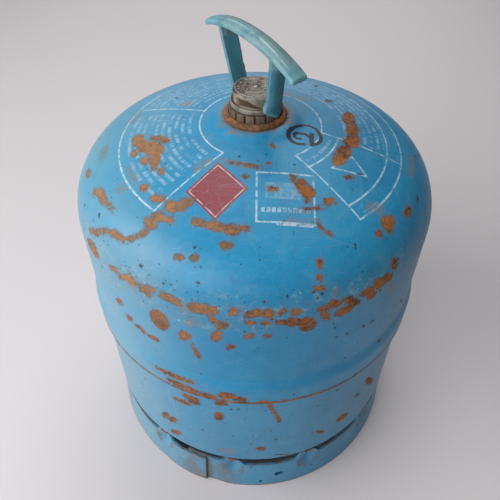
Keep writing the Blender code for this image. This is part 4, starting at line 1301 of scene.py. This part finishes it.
def paint_finish(name, with_print=False, dirty=False):
    finish, shader, place = new_finish(name)
    cloud = grain(place, 16.0, 5.0, 0.6)
    mottle = grain(place, 95.0, 4.0, 0.65)
    fine = grain(place, 700.0, 2.0, 0.5)
    colour = mix(fade(cloud, 0.3, 0.7), PAINT_DEEP, PAINT_BRIGHT)
    colour = mix(fade(mottle, 0.5, 0.75) * 0.25, colour, PAINT_CHALK)
    colour = mix(fade(mottle, 0.47, 0.3) * 0.25, colour, (0.012, 0.13, 0.27))
    x, _, z = split(place)
    # The left side is mixed paler: painted highlight where the window light falls on it.
    lit_side_highlight = fade(x + (cloud - 0.5) * 0.12, *LIT_SIDE_RANGE) * 0.62
    colour = mix(lit_side_highlight, colour, PAINT_PALE)
    if with_print:
        colour, pen = printed(place, colour)
    else:
        colour = mix(PLAIN_GREY_SHARE, colour, PLAIN_GREY)
    low, rise, fall, high = SCUFF_BAND
    band = fade(z, low, rise) * fade(z, high, fall) if with_print else 0.25
    chafe = grain(place, 230.0, 7.0, 0.72, 0.5)
    scuffed = fade(chafe + band * 0.06, 0.56, 0.7)
    colour = mix(scuffed * band * 0.5, colour, (0.26, 0.37, 0.4))
    scratch = use(scratch_group, place, Density=0.62, Width=0.012)[0]
    colour = mix(scratch * 0.3, colour, (0.33, 0.52, 0.62))
    colour = mix(fade(fine, 0.5, 0.75) * 0.18, colour, PAINT_CHALK)
    pale = use(specks_group, place, Scale=620.0, Size=0.4, Share=scuffed * band)[0]
    colour = mix(pale * 0.6, colour, (0.5, 0.6, 0.62))
    specks = use(specks_group, place, Scale=260.0, Size=0.34, Share=band * 0.3 + 0.05)[0]
    tiny = use(specks_group, place, Scale=720.0, Size=0.36, Share=band * 0.25 + 0.06)[0]
    pit_inside = -3.0 if dirty else attribute(place, "pit")
    stain_inside = -2.6 if dirty else attribute(place, "stain")
    pits = use(flaking_group, place, Distance=pit_inside, Ragged=0.25)
    dots = most([specks, tiny, pits["Bare"]])
    stains = use(flaking_group, place, Distance=stain_inside, Ragged=0.7)
    colour = mix(stains["Halo"] * fade(chafe, 0.3, 0.6) * 0.6, colour, (0.21, 0.17, 0.12))
    if with_print:
        colour = mix(pen * 0.96, colour, MARKER_INK)
    if dirty:
        dirt = use(dirt_group, place, Amount=0.32)
        lap = at_azimuth(RING_RADIUS, LAP_AZIMUTH, 0.010)
        at_lap = fade(measure("DISTANCE", place, tuple(lap)), 0.03, 0.008)
        low_down = fade(z, 0.006, 0.001) * 0.35 + fade(cloud, 0.54, 0.7) * 0.12
        grimy = calc("MAXIMUM", dirt["Mask"] * low_down, at_lap * fade(mottle, 0.36, 0.54) * 0.9)
        colour = mix(grimy * 0.85, colour, dirt["Colour"])
    colour = mix(dots * 0.85, colour, (0.03, 0.018, 0.014))
    rust = use(rust_group, place, Darkness=pits["Halo"] * 0.35)
    islands = band * 0.8 - 2.35
    distance = calc("MAXIMUM", attribute(place, "rust"), islands)
    if dirty:
        colour = mix(0.06, colour, PAINT_PALE)
        distance = fade(cloud, 0.5, 0.75) * 1.5 - 3.4
        cut = attribute(place, "edge") * 3.2 - 3.5
        distance = most([cut, (0.0004 - z) * 900.0, distance])
    flaked = use(flaking_group, place, Distance=distance, Ragged=0.6)
    colour = mix(flaked["Halo"] * 0.34, colour, (0.22, 0.12, 0.05))
    # Rust on the upper left is mixed paler: painted highlight where the light falls.
    lit_rust_highlight = fade(z, 0.15, 0.2) * fade(x, 0.03, -0.04) * 0.4
    colour = mix(flaked["Bare"], colour, mix(lit_rust_highlight, rust["Colour"], (0.33, 0.22, 0.13)))
    rough = blend_value(fine, 0.3, 0.46)
    rough = blend_value(scuffed * band, rough, 0.65)
    rough = blend_value(flaked["Bare"], rough, rust["Roughness"])
    layered(shader, colour, rough)
    shader.inputs["Specular IOR Level"].default_value = PAINT_SHEEN
    skin = flaked["Lip"] * 0.35 + 1.0 + (fine + mottle) * 0.1
    skin = skin - calc("MAXIMUM", dots, scratch * 0.3) * 0.6
    height = blend_value(flaked["Bare"], skin, rust["Height"] * 0.55)
    relief_of(shader, height, 0.00014)
    return finish


def wear(made, finish):
    made.data.materials.clear()
    made.data.materials.append(finish)
    print(made.name, "wears", finish.name)


wear(upper_shell, paint_finish("blue_paint_with_print", with_print=True))
wear(lower_shell, paint_finish("blue_paint_plain"))
wear(foot_ring, paint_finish("blue_paint_dirty", dirty=True))

# %% [markdown]
# ## Rusty welds and the collar
#
# A weld bead was never painted well, so it is nearly all rust with a few scales of paint left. The
# collar is bare steel, stained brown, with the bright marks that a spanner leaves.

# %% Welds and collar
def weld_finish(name, painted, darkness):
    finish, shader, place = new_finish(name)
    rust = use(rust_group, place, Darkness=darkness)
    scale = use(flaking_group, place, Distance=painted, Ragged=0.9)
    colour = mix(scale["Bare"], rust["Colour"], mix(grain(place, 300.0), PAINT_DEEP, PAINT_CHALK))
    colour = soiled(place, colour, 0.4, 0.4)
    layered(shader, colour, rust["Roughness"])
    ripple = grain(place, 420.0, 3.0, 0.6, 0.8)
    relief_of(shader, rust["Height"] + ripple, 0.00025)
    return finish


def collar_finish():
    finish, shader, place = new_finish("stained_steel")
    out = from_axis(place)
    rust = use(rust_group, place, Darkness=0.1)
    cloud = grain(place, 210.0, 5.0, 0.6)
    colour = mix(fade(cloud, 0.35, 0.65), (0.3, 0.2, 0.12), (0.54, 0.41, 0.27))
    stained = use(flaking_group, place, Distance=0.1, Ragged=0.8)
    colour = mix(stained["Halo"] * 0.55, colour, rust["Colour"])
    # Darker inside the notches, nearer the axis than 13.9 mm: painted shade, with some grime.
    colour = mix(fade(out, 0.015, 0.0139) * 0.8, colour, (0.035, 0.022, 0.015))
    colour = soiled(place, colour, 0.45, 0.45)
    scratch = use(scratch_group, place, Density=0.7, Width=0.03)[0]
    colour = mix(scratch * 0.5, colour, (0.55, 0.5, 0.44))
    layered(shader, colour, blend_value(cloud, 0.45, 0.8), fade(cloud, 0.4, 0.7) * 0.35)
    relief_of(shader, rust["Height"] - scratch * 0.4, 0.0001)
    return finish


bare_weld = weld_finish("rusty_weld", -1.2, 0.06)
wear(seam_bead, bare_weld)
wear(neck_bead, weld_finish("rusty_weld_flecked", -2.0, 0.04))
for index in range(1, 1 + LUG_COUNT):
    wear(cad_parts[f"foot_ring_weld_{index}"], bare_weld)
wear(collar, collar_finish())

# %% [markdown]
# ## The plug
#
# Die-cast zinc is dull and slightly grainy. Dirt lies on it, its hollows and the parts under its
# flange and cap are painted darker as shade with some grime, and its edges are rubbed bright.

# %% Cast zinc
def zinc_finish():
    finish, shader, place = new_finish("dull_cast_zinc")
    cloud = grain(place, 150.0, 5.0, 0.65)
    speckle = grain(place, 2200.0, 2.0, 0.5)
    edge = attribute(place, "edge")
    z = split(place)[2]
    out = from_axis(place)
    colour = mix(fade(cloud, 0.35, 0.65), (0.17, 0.135, 0.095), (0.3, 0.25, 0.175))
    # Below the top of the flange the casting is painted darker: painted shade under the flange, with
    # grime.
    colour = mix(fade(z, FLANGE_TOP + 0.0004, FLANGE_TOP - 0.0002), colour, (0.105, 0.085, 0.062))
    cap_face = mix(fade(cloud, 0.42, 0.58), (0.036, 0.037, 0.042), (0.105, 0.107, 0.115))
    colour = mix(fade(z, CAP_TOP - 0.0012, CAP_TOP - 0.0003), colour, cap_face)
    colour = mix(fade(z, CAP_TOP + 0.00005, CAP_TOP + 0.0002), colour, (0.42, 0.42, 0.44))
    # Under the cap, close to the axis, the stud and thread are painted dark: painted shade.
    under_cap_shade = fade(out, 0.0116, 0.01) * fade(z, CAP_TOP - 0.0004, CAP_TOP - 0.0014)
    colour = mix(under_cap_shade * 0.85, colour, (0.045, 0.036, 0.026))
    colour = mix(speckle * 0.25, colour, (0.2, 0.185, 0.165))
    dirt = use(dirt_group, place, Amount=0.4)
    colour = mix(dirt["Mask"] * 0.45, colour, (0.13, 0.095, 0.06))
    # Hollows, where the edge value is low, are painted darker: painted shade with grime.
    colour = mix(fade(edge, -0.1, -0.7) * 0.8, colour, (0.05, 0.035, 0.025))
    rust = use(rust_group, place, Darkness=0.15)
    spots = use(flaking_group, place, Distance=-0.8, Ragged=0.7)
    colour = mix(spots["Halo"] * 0.3, colour, rust["Colour"])
    rubbed = fade(edge, 0.2, 0.8) * fade(cloud, 0.35, 0.6)
    colour = mix(rubbed * 0.45, colour, (0.46, 0.42, 0.35))
    scratch = use(scratch_group, place, Density=0.7, Width=0.025)[0]
    colour = mix(scratch * 0.35, colour, (0.55, 0.53, 0.5))
    layered(shader, colour, blend_value(cloud, 0.48, 0.75), 0.3)
    relief_of(shader, speckle + cloud - scratch * 0.4, 0.00006)
    return finish


zinc = zinc_finish()
for made in (plug, cap_relief, plug_thread):
    wear(made, zinc)

# %% [markdown]
# ## The handle's plastic
#
# Teal plastic fades where hands rub it. The grip is rubbed pale and has a moulding ridge. The legs,
# the grip's back face beyond the ridge and the creases are painted darker as shade.

# %% Teal plastic
def plastic_finish():
    finish, shader, place = new_finish("worn_teal_plastic")
    cloud = grain(place, 60.0, 5.0, 0.6)
    pores = grain(place, 1600.0, 2.0, 0.5)
    edge = attribute(place, "edge")
    z = split(place)[2]
    colour = mix(fade(cloud, 0.3, 0.7), (0.046, 0.172, 0.225), (0.088, 0.255, 0.315))
    side = measure("DOT_PRODUCT", place, tuple(handle_across)) - grip_ridge
    far = measure("DOT_PRODUCT", place, tuple(handle_along))
    # The legs are painted darker, the near one most: painted shade on faces turned from the light.
    leg_shade_colour = mix(calc("GREATER_THAN", far, 0.0), (0.024, 0.215, 0.31), (0.015, 0.115, 0.158))
    colour = mix(fade(z, 0.2715, 0.2685) * 0.45, colour, leg_shade_colour)
    middle = fade(far, 0.035, 0.028) * fade(far, -0.028, -0.018)
    on_grip = fade(z, 0.27, 0.2722) * middle
    rubbed_flat = on_grip * fade(grain(place, 190.0, 5.0, 0.7), 0.4, 0.62)
    colour = mix(rubbed_flat * 0.55, colour, (0.27, 0.34, 0.33))
    # Beyond the ridge the grip's back face is painted darker: painted shade on the face turned from the
    # light.
    colour = mix(on_grip * fade(side, 0.0, 0.0006) * 0.55, colour, (0.07, 0.14, 0.16))
    ridge_line = on_grip * fade(calc("ABSOLUTE", side), 0.00055, 0.0002) * fade(cloud, 0.36, 0.56)
    colour = mix(ridge_line * 0.75, colour, (0.33, 0.52, 0.55))
    colour = mix(fade(edge, 0.15, 0.9) * 0.5, colour, (0.24, 0.47, 0.52))
    # Hollows and fillets, where the edge value is low, are painted darker: painted shade in the creases.
    colour = mix(fade(edge, -0.1, -0.8) * 0.5, colour, (0.02, 0.085, 0.11))
    dirt = use(dirt_group, place, Amount=0.36)
    colour = mix(dirt["Mask"] * 0.35, colour, (0.11, 0.13, 0.11))
    scratch = use(scratch_group, place, Density=0.75, Width=0.02)[0]
    colour = mix(scratch * 0.4, colour, (0.28, 0.5, 0.54))
    specks = use(specks_group, place, Scale=420.0, Size=0.3, Share=0.14)[0]
    colour = mix(specks * 0.55, colour, (0.03, 0.06, 0.06))
    layered(shader, colour, blend_value(cloud, 0.45, 0.66))
    skin = pores + cloud + ridge_line * 2.0
    relief_of(shader, skin - (scratch + specks), 0.00005)
    return finish


wear(handle, plastic_finish())

# %% [markdown]
# ## Inside the neck
#
# The small parts of the valve keep the solids' own shapes and take their finishes here. The spring
# has a mesh of its own.


def turned_finish(name, dull, bright, roughness, metal):
    """Turned metal: fine rings about the axis, a tarnish that comes and goes, and a few scratches."""
    finish, shader, place = new_finish(name)
    wave = {"Vector": place, "Scale": 900.0, "Distortion": 0.6, "Detail": 2.0}
    rings = fed("TexWave", wave, 1, wave_type="RINGS", rings_direction="Z")
    cloud = grain(place, 260.0, 4.0, 0.6)
    colour = mix(fade(cloud, 0.35, 0.65), dull, bright)
    scratch = use(scratch_group, place, Density=0.6, Width=0.03)[0]
    colour = soiled(place, colour, 0.36, 0.5)
    colour = mix(scratch * 0.3, colour, bright)
    layered(shader, colour, blend_value(cloud, roughness, roughness + 0.2), metal)
    relief_of(shader, rings + cloud, 0.00002)
    return finish


def rubber_finish():
    finish, shader, place = new_finish("dusty_rubber")
    skin = grain(place, 1200.0, 3.0, 0.6)
    colour = mix(skin, (0.018, 0.017, 0.017), (0.045, 0.042, 0.04))
    colour = soiled(place, colour, 0.4, 0.5)
    layered(shader, colour, blend_value(skin, 0.7, 0.95))
    relief_of(shader, skin, 0.00004)
    return finish


brass = turned_finish("tarnished_brass", (0.30, 0.19, 0.06), (0.62, 0.44, 0.17), 0.28, 0.9)
steel = turned_finish("bright_steel", (0.42, 0.42, 0.42), (0.66, 0.66, 0.65), 0.2, 1.0)
rubber = rubber_finish()
wear(brass_insert, brass)
inner_finishes = {
    "spring_retainer": brass, "valve_ball": steel, "valve_spring": steel, "valve_seat": rubber,
    "plug_seal": rubber,
}
for node, finish in inner_finishes.items():
    wear(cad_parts[node], finish)
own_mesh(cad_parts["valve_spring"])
